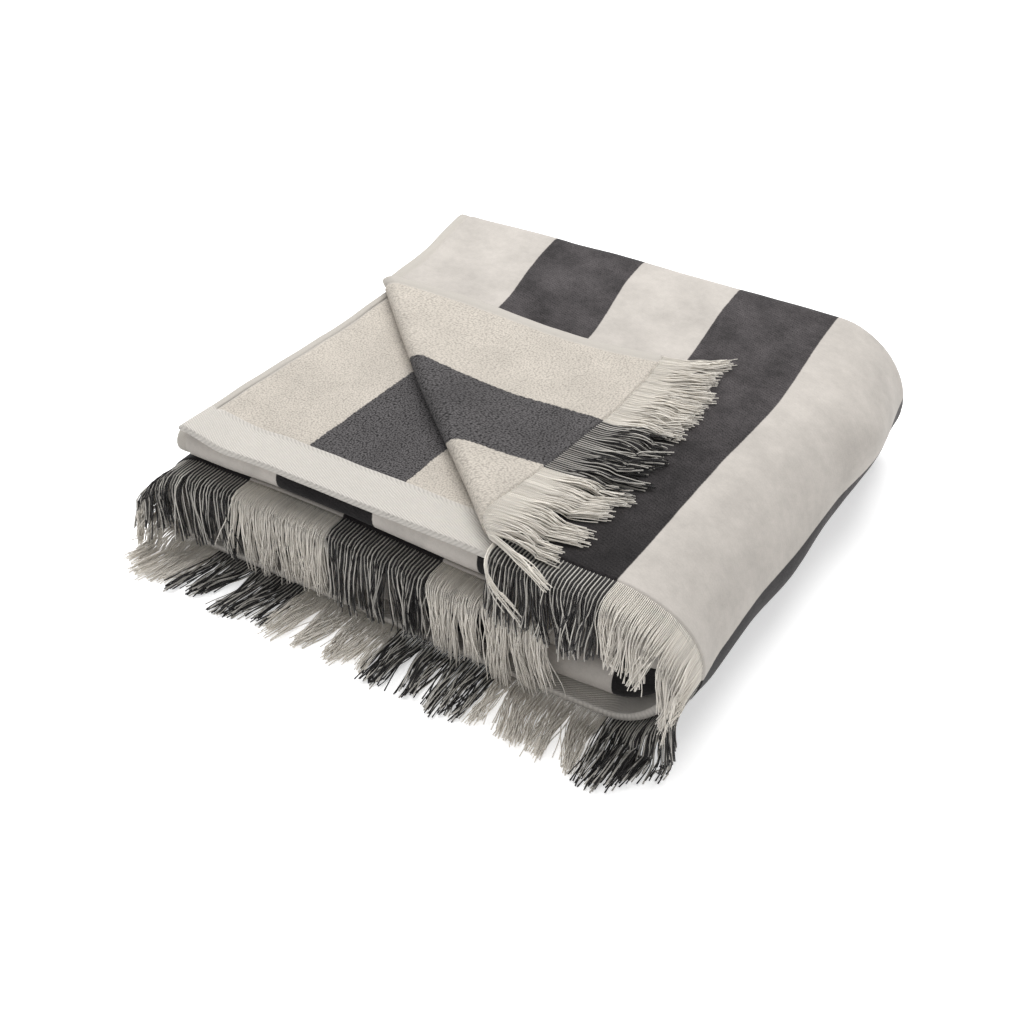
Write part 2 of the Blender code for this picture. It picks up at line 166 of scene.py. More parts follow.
@dataclass(frozen=True)
class TowelSize:
    """The towel laid flat; s runs along it from the fringed end, t across it from a side hem."""

    width: float = 1.00
    length: float = 1.80
    stripe_count: int = 15
    hem_width: float = 0.007
    band_width: float = 0.027
    pile_half: float = 0.00225
    hem_half: float = 0.00175
    band_half: float = 0.00180
    band_ease: float = 0.0028
    heading_groove: float = 0.0016
    heading_half: float = 0.00035
    step_ease: float = 0.0016
    hem_stitch: float = 0.0060
    hem_groove: float = 0.0006
    band_stitch: float = 0.0024
    band_groove: float = 0.00012
    groove_width: float = 0.0009

    @property
    def stripe(self) -> float:
        """The width of one stripe; the side hems lie outside the stripes."""
        return (self.width - 2 * self.hem_width) / self.stripe_count

    def line(self, number: float) -> float:
        """The place across the towel where a stripe starts, counted from 0."""
        return self.hem_width + number * self.stripe

    def half_thickness(self, s: float, t: float) -> float:
        """Gives half the cloth's thickness at a place on it.

        Args:
            s: distance from the fringed end.
            t: distance from the side hem.

        Returns:
            Half the thickness, in metres: full pile, with thinner hems, a flat band at the plain
            end, a stitched groove beside each, and a groove before the heading.
        """
        from_hem = min(t, self.width - t)
        pile = self.pile_half
        hem = self.hem_half - self.groove(from_hem - self.hem_stitch, self.hem_groove)
        half = hem + (pile - hem) * smooth((from_hem - self.hem_width) / self.step_ease)
        from_band = s - (self.length - self.band_width)
        band = self.band_half - self.groove(from_band - self.band_stitch, self.band_groove)
        half += (band - half) * smooth(from_band / self.band_ease)
        before_heading = 1.0 - smooth((s - self.heading_groove) / self.step_ease)
        return half + (self.heading_half - half) * before_heading

    def groove(self, away: float, depth: float) -> float:
        """Gives the depth of a stitched groove at a distance from its middle."""
        return depth * math.exp(-((away / self.groove_width) ** 2))


@dataclass(frozen=True)
class Settling:
    """The soft, uneven lie of the pack: how it leans, and how it has sunk and wandered.

    Low and uneven are shares of its height, waves are in radians a metre, and dents are noise, with
    so many to a metre; all other values are in metres.
    """

    back: Zone = Zone(0.20, 0.12)
    right: Zone = Zone(0.10, 0.16)
    left: Zone = Zone(0.08, -0.08)
    left_back: Zone = Zone(0.10, -0.10)
    crest: float = 0.0085
    crest_depth: float = 0.20
    crest_reach: float = 0.07
    outer_back: float = 0.010
    left_spread: float = 0.0020
    spread: Zone = Zone(0.27, -0.20)
    under_rise: float = 0.012
    under_start: float = 0.01
    under_reach: float = 0.15
    under_back: float = 0.014
    left_lean: float = 0.001
    left_back_lean: float = 0.003
    right_hold: float = 0.6
    back_low: float = 0.020
    left_low: float = 0.010
    uneven: float = 0.010
    wave_x: float = 9.0
    wave_x_start: float = 2.0
    wave_y: float = 11.0
    wave_y_start: float = 0.6
    middle_sink: float = 0.005
    sink_left: Zone = Zone(0.08, 0.11)
    sink_right: Zone = Zone(0.27, -0.05)
    edge_wander: float = 0.0015
    edge_wave_x: float = 9.0
    edge_wave_z: float = 14.0
    back_drawn_in: float = 0.003
    dent: float = 0.0011
    dents: float = 21.0
    dent_layer: float = 1.7
    fine_dent: float = 0.0004
    fine_dents: float = 55.0
    fine_dent_layer: float = 5.1


@dataclass(frozen=True)
class FoldPlan:
    """How the flat towel is folded: a corner back, six layers along it, three panels across it."""

    size: TowelSize = field(default_factory=TowelSize)
    lay: Settling = field(default_factory=Settling)
    pitch: float = 0.0050
    front_edge: float = 0.016
    front_turn: float = 0.0235
    inner_front_turn: float = 0.0235
    outer_back_turn: float = 0.3145
    inner_back_turn: float = 0.3045
    top_run: float = 0.2705
    right_turn: float = 0.0425
    bottom_run: float = 0.2710
    left_turn: float = 0.0275
    left_hem_x: float = -0.004
    inner_slip: float = 0.0145
    deep_slip: float = 0.0165
    slip_past_top: float = 0.06
    slip_fade: float = 0.16
    solid_half: float = 0.0016
    right_loft: float = 0.40
    right_loft_reach: float = 0.095
    crease_on_hem: float = 0.194
    crease_on_end: float = 0.202
    crease_turn: float = 0.0045
    crease_angle: float = math.radians(182.0)
    crease_pull: float = 0.0105
    crease_pull_reach: float = 0.030
    crease_pull_share: float = 0.85
    corner_free: float = 0.05
    corner_drag: float = 0.0095
    corner_drag_inward: float = 0.0045
    corner_sag: float = 0.0088
    corner_back: float = 0.0033
    corner_hem_sag: float = 0.012
    corner_hem_reach: float = 0.16
    end_reach: float = 0.045
    end_move: tuple[float, float, float] = (0.002, 0.004, 0.0020)
    end_round: float = 0.0045
    floor_clear: float = 0.0002
    shift: tuple[float, float, float] = (-0.13889, -0.14251, 0.0)

    @property
    def length_path(self) -> FoldPath:
        """The six layers, in the plane of depth from the front and layers in from the outside."""
        large, small = 1.5 * self.pitch, 0.5 * self.pitch
        front, inner, back = self.front_turn, self.inner_front_turn, self.inner_back_turn
        return FoldPath(
            (self.front_edge, 0.0),
            (
                Leg(self.outer_back_turn - self.front_edge),
                half_turn(large, Side.LEFT),
                Leg(self.outer_back_turn - inner),
                half_turn(small, Side.RIGHT),
                Leg(back - inner),
                half_turn(small, Side.LEFT),
                Leg(back - front),
                half_turn(large, Side.LEFT),
                Leg(back - front),
                half_turn(small, Side.RIGHT),
                Leg(self.size.length),
            ),
        )

    @property
    def width_path(self) -> FoldPath:
        """The three panels, in the plane of x and z: over the top, underneath, in between."""
        return FoldPath(
            (self.left_hem_x, self.top_height),
            (
                Leg(self.top_run),
                half_turn(self.right_turn, Side.RIGHT),
                Leg(self.bottom_run),
                half_turn(self.left_turn, Side.RIGHT),
                Leg(self.size.width),
            ),
        )

    @property
    def corner_path(self) -> FoldPath:
        """The roll of the corner over its crease."""
        crease = half_turn(self.crease_turn, Side.LEFT, self.crease_angle)
        return FoldPath((0.0, 0.0), (crease, Leg(self.size.width)))

    @property
    def top_height(self) -> float:
        """The height of the middle of the top layer before it settles."""
        return self.solid_half + 2 * self.right_turn

    @property
    def crease_across(self) -> Vector:
        """The direction in the flat cloth that points over the crease towards the corner."""
        return Vector((-self.crease_on_end, -self.crease_on_hem)).normalized()


@dataclass(frozen=True)
class Bulge:
    """How far the right turn stands out at a depth, as a share of what is past the top run."""

    depth: float
    upper: float
    lower: float


BULGES = (
    Bulge(0.012, 0.24, -0.05), Bulge(0.045, 0.04, 0.10), Bulge(0.09, 0.02, 0.09),
    Bulge(0.14, 0.01, 0.19), Bulge(0.19, 0.07, 0.09), Bulge(0.25, 0.36, 0.02),
    Bulge(0.33, 0.00, 0.12),
)


def bulge_at(depth: float, upper: float) -> float:
    """Finds how far the right turn stands out.

    Args:
        depth: distance from the front.
        upper: 1 at the top of the pack, 0 at its underside.

    Returns:
        The share, between the two nearest rows of the table.
    """
    after = next((k for k, row in enumerate(BULGES) if row.depth >= depth), len(BULGES) - 1)
    low, high = BULGES[max(after, 1) - 1], BULGES[max(after, 1)]
    share = smooth((depth - low.depth) / (high.depth - low.depth))
    above = low.upper + share * (high.upper - low.upper)
    below = low.lower + share * (high.lower - low.lower)
    return below + upper * (above - below)


class Folder:
    """Takes points of the flat towel to where they lie in the folded one."""

    def __init__(self, plan: FoldPlan) -> None:
        """Keeps the plan and its paths."""
        self.plan = plan
        self.length_path = plan.length_path
        self.width_path = plan.width_path
        self.corner_path = plan.corner_path
        self.shift = Vector(plan.shift)

    def turn_corner(self, s: float, t: float, lift: float) -> tuple[float, float, float]:
        """Rolls what lies beyond the crease back over the cloth.

        Args:
            s: distance from the fringed end.
            t: distance from the side hem.
            lift: height on the outer face.

        Returns:
            The place on the cloth that the point comes to lie over, and its height there.
        """
        plan = self.plan
        across = plan.crease_across
        along = Vector((across.y, -across.x))
        from_hem = Vector((s - plan.crease_on_hem, t))
        beyond = from_hem.dot(across)
        if beyond <= 0.0:
            return s, t - self.crease_pull(from_hem.dot(along), beyond), lift
        a, b = self.corner_path.beside(beyond, -lift)
        placed = along * from_hem.dot(along) + across * a
        free = smooth(beyond / plan.corner_free)
        inward = math.sin(math.pi * min(1.0, t / plan.size.line(2)))
        from_tip = min(1.0, s / plan.crease_on_hem)
        hem = math.sin(math.pi * from_tip) * (1.0 - from_tip)
        hem *= 1.0 - smooth(t / plan.corner_hem_reach)
        sag = plan.corner_sag * inward - plan.corner_back + plan.corner_hem_sag * hem
        drag = plan.corner_drag + plan.corner_drag_inward * inward
        pull = self.crease_pull(from_hem.dot(along), a)
        return placed.x + plan.crease_on_hem - sag * free, placed.y + drag * free - pull, b

    def crease_pull(self, along: float, beyond: float) -> float:
        """Says how far the cloth beside the crease has slipped to the left.

        Args:
            along: how far along the crease from the side hem.
            beyond: how far over the crease; less than 0 is on the cloth behind it.

        Returns:
            The distance.
        """
        plan = self.plan
        length = math.hypot(plan.crease_on_hem, plan.crease_on_end)
        near = math.exp(-((min(0.0, beyond) / plan.crease_pull_reach) ** 2))
        fade = min(1.0, max(0.0, along / (plan.crease_pull_share * length)))
        return plan.crease_pull * near * math.cos(fade * math.pi / 2)

    def near_end_corner(self, s: float, t: float) -> float:
        """Says how near a place is to the free corner of the plain end: 1 at it, 0 away from it."""
        plan = self.plan
        from_end = (plan.size.length - s) / (2.0 * plan.end_reach)
        return (1.0 - smooth(t / plan.end_reach)) * (1.0 - smooth(from_end))

    def rounded(self, s: float, t: float) -> tuple[float, float]:
        """Rounds the free corner of the plain end.

        Args:
            s: distance from the fringed end.
            t: distance from the side hem.

        Returns:
            The place, drawn in where it lies outside the corner's arc.
        """
        radius = self.plan.end_round
        middle = self.plan.size.length - radius
        out = math.hypot(s - middle, t - radius)
        if s <= middle or t >= radius or out <= radius:
            return s, t
        return middle + (s - middle) * radius / out, radius + (t - radius) * radius / out

    def loft(self, t: float) -> float:
        """Says how much further apart the layers lie where the pack turns over at the right."""
        middle = self.plan.top_run + self.plan.right_turn * math.pi / 2
        away = min(1.0, abs(t - middle) / self.plan.right_loft_reach)
        return 1.0 + self.plan.right_loft * math.cos(away * math.pi / 2) ** 2

    def slip(self, t: float, inward: float) -> float:
        """Says how far a layer has slipped to the left against the outermost one.

        Args:
            t: distance from the side hem.
            inward: how far in the layer lies.

        Returns:
            The distance, which fades out before the pack turns over at the right.
        """
        plan = self.plan
        inner = smooth(inward / plan.pitch)
        deep = smooth((inward - plan.pitch) / plan.pitch)
        far = plan.inner_slip * inner + (plan.deep_slip - plan.inner_slip) * deep
        return far * smooth((plan.top_run + plan.slip_past_top - t) / plan.slip_fade)

    def sway(self, x: float, y: float, inner: float) -> float:
        """Says how far the pack leans to the right at a depth.

        Args:
            x: place across the pack.
            y: depth from the front.
            inner: 0 in the outermost layer, 1 in the others.

        Returns:
            The distance at the top of the pack.
        """
        lay = self.plan.lay
        back = lay.back.at(y)
        crest = lay.crest * math.exp(-(((y - lay.crest_depth) / lay.crest_reach) ** 2))
        outer = crest - lay.outer_back * back - lay.left_spread * lay.spread.at(x)
        rise = lay.under_rise * min(1.0, max(0.0, (y - lay.under_start) / lay.under_reach))
        under = rise - lay.under_back * back
        return outer + (under - outer) * inner

    def sunk(self, x: float, z: float) -> float:
        """Says how far the middle of the pack has sunk at a place: most halfway up."""
        plan = self.plan
        middle = 2 * plan.left_turn
        level = z / middle if z < middle else (plan.top_height - z) / (plan.top_height - middle)
        sunk = plan.lay.middle_sink * plan.lay.sink_left.at(x) * plan.lay.sink_right.at(x)
        return sunk * max(0.0, level)

    def dented(self, x: float, y: float) -> float:
        """Says how high the uneven top of the pack lies at a place."""
        lay = self.plan.lay
        large = noise.noise(Vector((x * lay.dents, y * lay.dents, lay.dent_layer)))
        fine_at = Vector((x * lay.fine_dents, y * lay.fine_dents, lay.fine_dent_layer))
        return large * lay.dent + noise.noise(fine_at) * lay.fine_dent

    def settle(self, x: float, y: float, z: float, inner: float = 0.0) -> Vector:
        """Gives the soft, uneven lie of the pack.

        Args:
            x: place across the pack before it settles.
            y: depth from the front.
            z: height.
            inner: 0 in the outermost layer, 1 in the others.

        Returns:
            The settled point.
        """
        plan, lay = self.plan, self.plan.lay
        share = z / (2 * plan.right_turn)
        back, right, left = lay.back.at(y), lay.right.at(x), lay.left.at(x)
        height = 1.0 - lay.back_low * back * (1.0 - right) - lay.left_low * left
        wave = math.sin(lay.wave_x * x + lay.wave_x_start)
        height -= lay.uneven * wave * math.sin(lay.wave_y * y + lay.wave_y_start)
        sway = self.sway(x, y, inner) - left * (lay.left_lean + lay.left_back_lean * back)
        beyond = max(0.0, x - plan.top_run - plan.left_hem_x)
        sunk = self.sunk(x, z)
        x += share * sway * (1.0 - lay.right_hold * right) + bulge_at(y, smooth(share)) * beyond
        wander = lay.edge_wander * math.sin(lay.edge_wave_x * x + lay.edge_wave_z * z)
        y += share * (wander - lay.back_drawn_in * back * lay.left_back.at(x))
        return Vector((x, y, z * height + share * self.dented(x, y) - sunk))

    def place(self, s: float, t: float, lift: float) -> Vector:
        """Finds where a point of the flat towel lies in the folded one.

        Args:
            s: distance from the fringed end.
            t: distance from the side hem.
            lift: height on the outer face.

        Returns:
            The point in the row frame.
        """
        s, t = self.rounded(s, t)
        s, t, lift = self.turn_corner(s, t, lift)
        y, inward = self.length_path.beside(s, lift)
        slip = self.slip(t, inward)
        offset = inward * self.loft(t) if inward > 0.0 else inward
        x, z = self.width_path.beside(t - slip, offset)
        spot = self.settle(x, y, z, smooth(inward / self.plan.pitch)) + self.shift
        spot += Vector(self.plan.end_move) * self.near_end_corner(s, t)
        spot.z = max(spot.z, self.plan.floor_clear)
        return spot

    def top_at(self, x: float, y: float) -> float:
        """Gives the height of the top of the pack at a place in the row frame."""
        height = self.plan.top_height + self.plan.size.pile_half
        return self.settle(x - self.shift.x, y - self.shift.y, height).z + self.shift.z


# ---------------------------------------------------------------- shader nodes


# How many of each there are to a metre of cloth.
EDGE_LOOPS = 620.0
EDGE_WAVES = 35.0
NAP_PATCHES = 34.0
NAP_TUFTS = 260.0
LOOP_BENDS = 300.0
ROW_BENDS = 150.0
RIB_BENDS = 180.0

# How far a stripe's edge and a loop stray, and the least distance into the stripes, in metres.
EDGE_DRIFT = 0.0007
LOOP_DRIFT = 0.0007
FIRST_STRIPE = 0.002

# How much of each goes into a height or a shade.
EDGE_SOFT = 0.02
PATCH_SHARE = 0.7
LOOP_REACH = 0.85
LOOP_SHARE = 0.5
FUZZ_SHARE = 0.7
FUZZ_RATE = 0.85
ROW_SLANT = 0.35
ROW_BEND = 5.0
RIB_BEND = 2.2
RIB_SHARE = 0.7
PLY_SHADE = 0.10
YARN_SHADE = 0.92


@dataclass
class Wiring:
    """Writes nodes into a tree, and links a socket wherever one is given for an input."""

    tree: bpy.types.NodeTree

    def add(self, kind: str, inputs: dict | None = None, **settings: object) -> bpy.types.Node:
        """Adds a node.

        Args:
            kind: the node's type, without the part that all shader nodes share.
            inputs: a value or a socket for each input, by name or number.
            settings: the node's own settings.

        Returns:
            The node.
        """
        node = self.tree.nodes.new(kind if kind.startswith("NodeGroup") else f"ShaderNode{kind}")
        for name, value in settings.items():
            setattr(node, name, value)
        for key, value in (inputs or {}).items():
            if isinstance(value, bpy.types.NodeSocket):
                self.tree.links.new(value, node.inputs[key])
            else:
                node.inputs[key].default_value = value
        return node

    def math(self, operation: str, *values: object) -> bpy.types.NodeSocket:
        """Adds one sum of numbers or sockets and returns its result."""
        node = self.add("Math", dict(enumerate(values)), operation=operation)
        return node.outputs[0]

    def mix(self, factor: object, first: object, second: object) -> bpy.types.NodeSocket:
        """Mixes two colours.

        Args:
            factor: how much of the second shows.
            first: a colour or a socket.
            second: a colour or a socket.

        Returns:
            The mixed colour.
        """
        node = self.add("Mix", {"Factor": factor}, data_type="RGBA")
        for socket, value in ((node.inputs[6], first), (node.inputs[7], second)):
            if isinstance(value, bpy.types.NodeSocket):
                self.tree.links.new(value, socket)
            else:
                socket.default_value = (*value, 1.0)
        return node.outputs[2]

    def fit(self, value: object, low: float, high: float, out_low: float, out_high: float,
            kind: str = "SMOOTHSTEP") -> bpy.types.NodeSocket:
        """Maps a range of values to another, held at its ends.

        Args:
            value: the socket to map.
            low: the start of its range.
            high: the end of its range.
            out_low: the result at the start.
            out_high: the result at the end.
            kind: how it goes between them.

        Returns:
            The mapped value.
        """
        ends = {"Value": value, "From Min": low, "From Max": high,
                "To Min": out_low, "To Max": out_high}
        return self.add("MapRange", ends, interpolation_type=kind).outputs[0]

    def attribute(self, name: str) -> tuple[bpy.types.NodeSocket, list[bpy.types.NodeSocket]]:
        """Reads a vector that the mesh carries.

        Args:
            name: the attribute's name.

        Returns:
            The vector, and its three parts.
        """
        vector = self.add("Attribute", attribute_name=name).outputs["Vector"]
        parts = self.add("SeparateXYZ", {0: vector}).outputs
        return vector, [parts[0], parts[1], parts[2]]

    def noise(self, vector: object, scale: float, detail: float = 2.0,
              roughness: float = 0.5) -> bpy.types.NodeSocket:
        """Adds noise.

        Args:
            vector: where to read it.
            scale: how many bumps there are to a metre.
            detail: how many finer layers are added.
            roughness: how strong those are.

        Returns:
            A value near 0.5.
        """
        made = {"Vector": vector, "Scale": scale, "Detail": detail, "Roughness": roughness}
        return self.add("TexNoise", made).outputs["Fac"]


@dataclass(frozen=True)
class GroupPlan:
    """The sockets of a shared effect and the function that wires it."""

    name: str
    inputs: tuple[tuple[str, float], ...]
    outputs: tuple[str, ...]
    wire: Callable[[Wiring, bpy.types.Node, bpy.types.Node], None]

    def build(self) -> bpy.types.NodeTree:
        """Makes the node group, or finds it if it is made already."""
        found = bpy.data.node_groups.get(self.name)
        if found:
            return found
        tree = bpy.data.node_groups.new(self.name, "ShaderNodeTree")
        for name, value in self.inputs:
            socket = tree.interface.new_socket(name, in_out="INPUT", socket_type="NodeSocketFloat")
            socket.default_value = value
        for name in self.outputs:
            tree.interface.new_socket(name, in_out="OUTPUT", socket_type="NodeSocketFloat")
        self.wire(Wiring(tree), tree.nodes.new("NodeGroupInput"), tree.nodes.new("NodeGroupOutput"))
        return tree

    def use(self, wiring: Wiring, **values: object) -> bpy.types.Node:
        """Places the group in a material with that material's own values."""
        node = wiring.add("Group")
        node.node_tree = self.build()
        for name, value in values.items():
            socket = node.inputs[name.replace("_", " ").title()]
            if isinstance(value, bpy.types.NodeSocket):
                wiring.tree.links.new(value, socket)
            else:
                socket.default_value = value
        return node


def wire_stripes(wiring: Wiring, given: bpy.types.Node, out: bpy.types.Node) -> None:
    """Wires the dark stripes, whose edges wander by a loop or so."""
    vector, (_s, t, _lift) = wiring.attribute(FLAT)
    wander = wiring.math("SUBTRACT", wiring.noise(vector, EDGE_LOOPS, 1.0), 0.5)
    slow = wiring.math("SUBTRACT", wiring.noise(vector, EDGE_WAVES, 1.0), 0.5)
    from_far_hem = wiring.math("SUBTRACT", given.outputs["Width"], t)
    inside = wiring.math("SUBTRACT", wiring.math("MINIMUM", t, from_far_hem), given.outputs["Hem"])
    moved = wiring.math("ADD", inside, wiring.math("MULTIPLY", wander, given.outputs["Wander"]))
    moved = wiring.math("ADD", moved, wiring.math("MULTIPLY", slow, EDGE_DRIFT))
    moved = wiring.math("MAXIMUM", moved, FIRST_STRIPE)
    turns = wiring.math("MULTIPLY", moved, given.outputs["Turns"])
    wave = wiring.math("SINE", turns)
    dark = wiring.fit(wave, EDGE_SOFT, -EDGE_SOFT, 0.0, 1.0)
    wiring.tree.links.new(dark, out.inputs["Dark"])


def wire_nap(wiring: Wiring, given: bpy.types.Node, out: bpy.types.Node) -> None:
    """Wires the way the nap lies in soft patches, lighter and darker."""
    vector, _parts = wiring.attribute(FLAT)
    large = wiring.math("MULTIPLY", wiring.noise(vector, NAP_PATCHES, 3.0, 0.55), PATCH_SHARE)
    fine = wiring.noise(vector, NAP_TUFTS, 2.0, 0.6)
    fine = wiring.math("MULTIPLY", fine, 1.0 - PATCH_SHARE)
    centred = wiring.math("SUBTRACT", wiring.math("ADD", large, fine), 0.5)
    strong = wiring.math("MULTIPLY", centred, given.outputs["Amount"])
    wiring.tree.links.new(wiring.math("ADD", strong, 1.0), out.inputs["Shade"])


def wire_loops(wiring: Wiring, given: bpy.types.Node, out: bpy.types.Node) -> None:
    """Wires the loops of terry, or the cut tufts of velour: rounded tops in slanting rows."""
    vector, (s, t, _lift) = wiring.attribute(FLAT)
    bent = wiring.add("TexNoise", {"Vector": vector, "Scale": LOOP_BENDS}).outputs["Color"]
    shifted = wiring.add("VectorMath", {0: bent, 1: (0.5, 0.5, 0.5)}, operation="SUBTRACT")
    small = wiring.add("VectorMath", {0: shifted.outputs[0], 3: LOOP_DRIFT}, operation="SCALE")
    moved = wiring.add("VectorMath", {0: vector, 1: small.outputs[0]}, operation="ADD")
    size = wiring.add("CombineXYZ", {0: given.outputs["Along"], 1: given.outputs["Across"], 2: 0.0})
    scaled = wiring.add("VectorMath", {0: moved.outputs[0], 1: size.outputs[0]},
                        operation="MULTIPLY")
    cells = wiring.add("TexVoronoi", {"Vector": scaled.outputs[0], "Scale": 1.0},
                       feature="F1", voronoi_dimensions="2D")
    top = wiring.fit(cells.outputs["Distance"], 0.0, LOOP_REACH, 1.0, 0.0)
    fuzz_rate = wiring.math("MULTIPLY", given.outputs["Across"], FUZZ_RATE)
    fuzz = wiring.math("MULTIPLY", wiring.noise(vector, fuzz_rate, 3.0, 0.8), FUZZ_SHARE)
    slant = wiring.math("ADD", s, wiring.math("MULTIPLY", t, ROW_SLANT))
    wobble = wiring.math("MULTIPLY", wiring.noise(vector, ROW_BENDS, 2.0), ROW_BEND)
    turns = wiring.math("ADD", wiring.math("MULTIPLY", slant, given.outputs["Rows"]), wobble)
    rows = wiring.math("MULTIPLY", wiring.math("SINE", turns), given.outputs["Ridge"])
    high = wiring.math("ADD", wiring.math("MULTIPLY", top, LOOP_SHARE), fuzz)
    wiring.tree.links.new(wiring.math("ADD", high, rows), out.inputs["Height"])


def wire_weave(wiring: Wiring, given: bpy.types.Node, out: bpy.types.Node) -> None:
    """Wires a twill: slanting ribs, each broken into its threads."""
    vector, (s, t, _lift) = wiring.attribute(FLAT)
    wobble = wiring.math("MULTIPLY", wiring.noise(vector, RIB_BENDS, 2.0), RIB_BEND)
    slant = wiring.math("ADD", wiring.math("MULTIPLY", s, given.outputs["Rise"]), t)
    ribs = wiring.math("ADD", wiring.math("MULTIPLY", slant, given.outputs["Ribs"]), wobble)
    threads = wiring.math("ADD", wiring.math("MULTIPLY", t, given.outputs["Threads"]), wobble)
    rib = wiring.math("ABSOLUTE", wiring.math("SINE", ribs))
    thread = wiring.math("ABSOLUTE", wiring.math("SINE", threads))
    threaded = wiring.math("MULTIPLY", thread, 1.0 - RIB_SHARE)
    high = wiring.math("ADD", wiring.math("MULTIPLY", rib, RIB_SHARE), threaded)
    wiring.tree.links.new(high, out.inputs["Height"])


STRIPES = GroupPlan("woven stripes",
                    (("Wander", 0.0012), ("Turns", 47.0), ("Hem", 0.007), ("Width", 1.0)),
                    ("Dark",), wire_stripes)
NAP = GroupPlan("lie of the nap", (("Amount", 0.2),), ("Shade",), wire_nap)
LOOPS = GroupPlan("pile loops", (("Along", 800.0), ("Across", 800.0), ("Rows", 2800.0), ("Ridge", 0.02)),
                  ("Height",), wire_loops)
WEAVE = GroupPlan("twill weave", (("Ribs", 2600.0), ("Rise", 1.0), ("Threads", 4200.0)),
                  ("Height",), wire_weave)


def new_material(name: str, colour: Colour) -> tuple[bpy.types.Material, Wiring, bpy.types.Node]:
    """Starts a material.

    Args:
        name: the material's name.
        colour: its plain colour, for solid views.

    Returns:
        The material, a writer for its nodes, and its shader.
    """
    made = bpy.data.materials.new(name)
    made.use_nodes = True
    made.diffuse_color = (*colour, 1.0)
    return made, Wiring(made.node_tree), made.node_tree.nodes["Principled BSDF"]


@dataclass(frozen=True)
class Cotton:
    """The dry, slightly hazy surface of cotton, and how strongly its relief shows."""

    roughness: float
    sheen: float
    relief: float
    specular: float = 0.15
    sheen_roughness: float = 0.45

    def dress(self, wiring: Wiring, shader: bpy.types.Node, high: bpy.types.NodeSocket,
              depth: float) -> None:
        """Sets a shader.

        Args:
            wiring: the writer of the material's nodes.
            shader: its shader.
            high: the height of the surface, 0 to 1.
            depth: what that height is in metres.
        """
        relief = {"Height": high, "Distance": depth, "Strength": self.relief}
        bump = wiring.add("Bump", relief)
        wiring.tree.links.new(bump.outputs[0], shader.inputs["Normal"])
        shader.inputs["Roughness"].default_value = self.roughness
        shader.inputs["Specular IOR Level"].default_value = self.specular
        shader.inputs["Sheen Weight"].default_value = self.sheen
        shader.inputs["Sheen Roughness"].default_value = self.sheen_roughness


@dataclass(frozen=True)
class PileFinish:
    """A pile face of the cloth, in two colours of stripe, with shade and light painted into them."""

    name: str
    cream: Colour
    charcoal: Colour
    loops_along: float
    loops_across: float
    depth: float
    ridge: float
    # The next three factors paint shade into the gaps between the loops and light onto their tops.
    shade_low: float
    charcoal_gap_shade: float
    charcoal_top_light: float
    # Painted shade: how dark the charcoal pile is painted at the fringed end.
    painted_front_shade: float
    nap: float
    dark_nap: float
    wander: float
    sheen: float
    front_reach: float = 0.20
    # Painted shade on the charcoal pile where the inner layers turn over at the front of the pack.
    fold_at: float = 1.20
    fold_reach: float = 0.06
    painted_fold_shade: float = 0.25
    gap_height: float = 0.25
    top_height: float = 0.85

    def make(self, stripe: float) -> bpy.types.Material:
        """Makes the material.

        Args:
            stripe: the width of a stripe.

        Returns:
            The material, which reads the place on the flat cloth.
        """
        made, wiring, shader = new_material(self.name, self.cream)
        dark = STRIPES.use(wiring, wander=self.wander, turns=math.pi / stripe).outputs["Dark"]
        loops = {"along": self.loops_along, "across": self.loops_across, "ridge": self.ridge}
        height = LOOPS.use(wiring, **loops)
        high = height.outputs["Height"]
        amount = wiring.fit(dark, 0.0, 1.0, self.nap, self.dark_nap, "LINEAR")
        shade = NAP.use(wiring, amount=amount).outputs["Shade"]
        colour = wiring.mix(dark, self.cream, self.charcoal)
        _place, (from_fringe, _across, _lift) = wiring.attribute(FLAT)
        # Painted shade: the charcoal pile is painted darker towards the fringed end.
        front_shade = wiring.fit(from_fringe, 0.0, self.front_reach, self.painted_front_shade, 1.0)
        # Painted shade in the gaps between the loops and painted light on their tops, by pile height.
        gap, top = self.gap_height, self.top_height
        on_dark = wiring.fit(high, gap, top, self.charcoal_gap_shade, self.charcoal_top_light, "LINEAR")
        # Painted shade: the charcoal pile is painted darker where the inner layers turn over at the
        # front.
        from_fold = wiring.math("ABSOLUTE", wiring.math("SUBTRACT", from_fringe, self.fold_at))
        bent = wiring.fit(from_fold, self.fold_reach / 3, self.fold_reach, self.painted_fold_shade, 1.0)
        on_dark = wiring.math("MULTIPLY", wiring.math("MULTIPLY", on_dark, front_shade), bent)
        on_cream = wiring.fit(high, gap, top, self.shade_low, 1.0, "LINEAR")
        from_cream = wiring.math("MULTIPLY", wiring.math("SUBTRACT", on_dark, on_cream), dark)
        deep = wiring.math("ADD", on_cream, from_cream)
        both = wiring.math("MULTIPLY", shade, deep)
        shaded = wiring.add("VectorMath", {0: colour, 3: both}, operation="SCALE").outputs[0]
        wiring.tree.links.new(shaded, shader.inputs["Base Color"])
        Cotton(0.95, self.sheen, relief=0.9).dress(wiring, shader, high, self.depth)
        return made


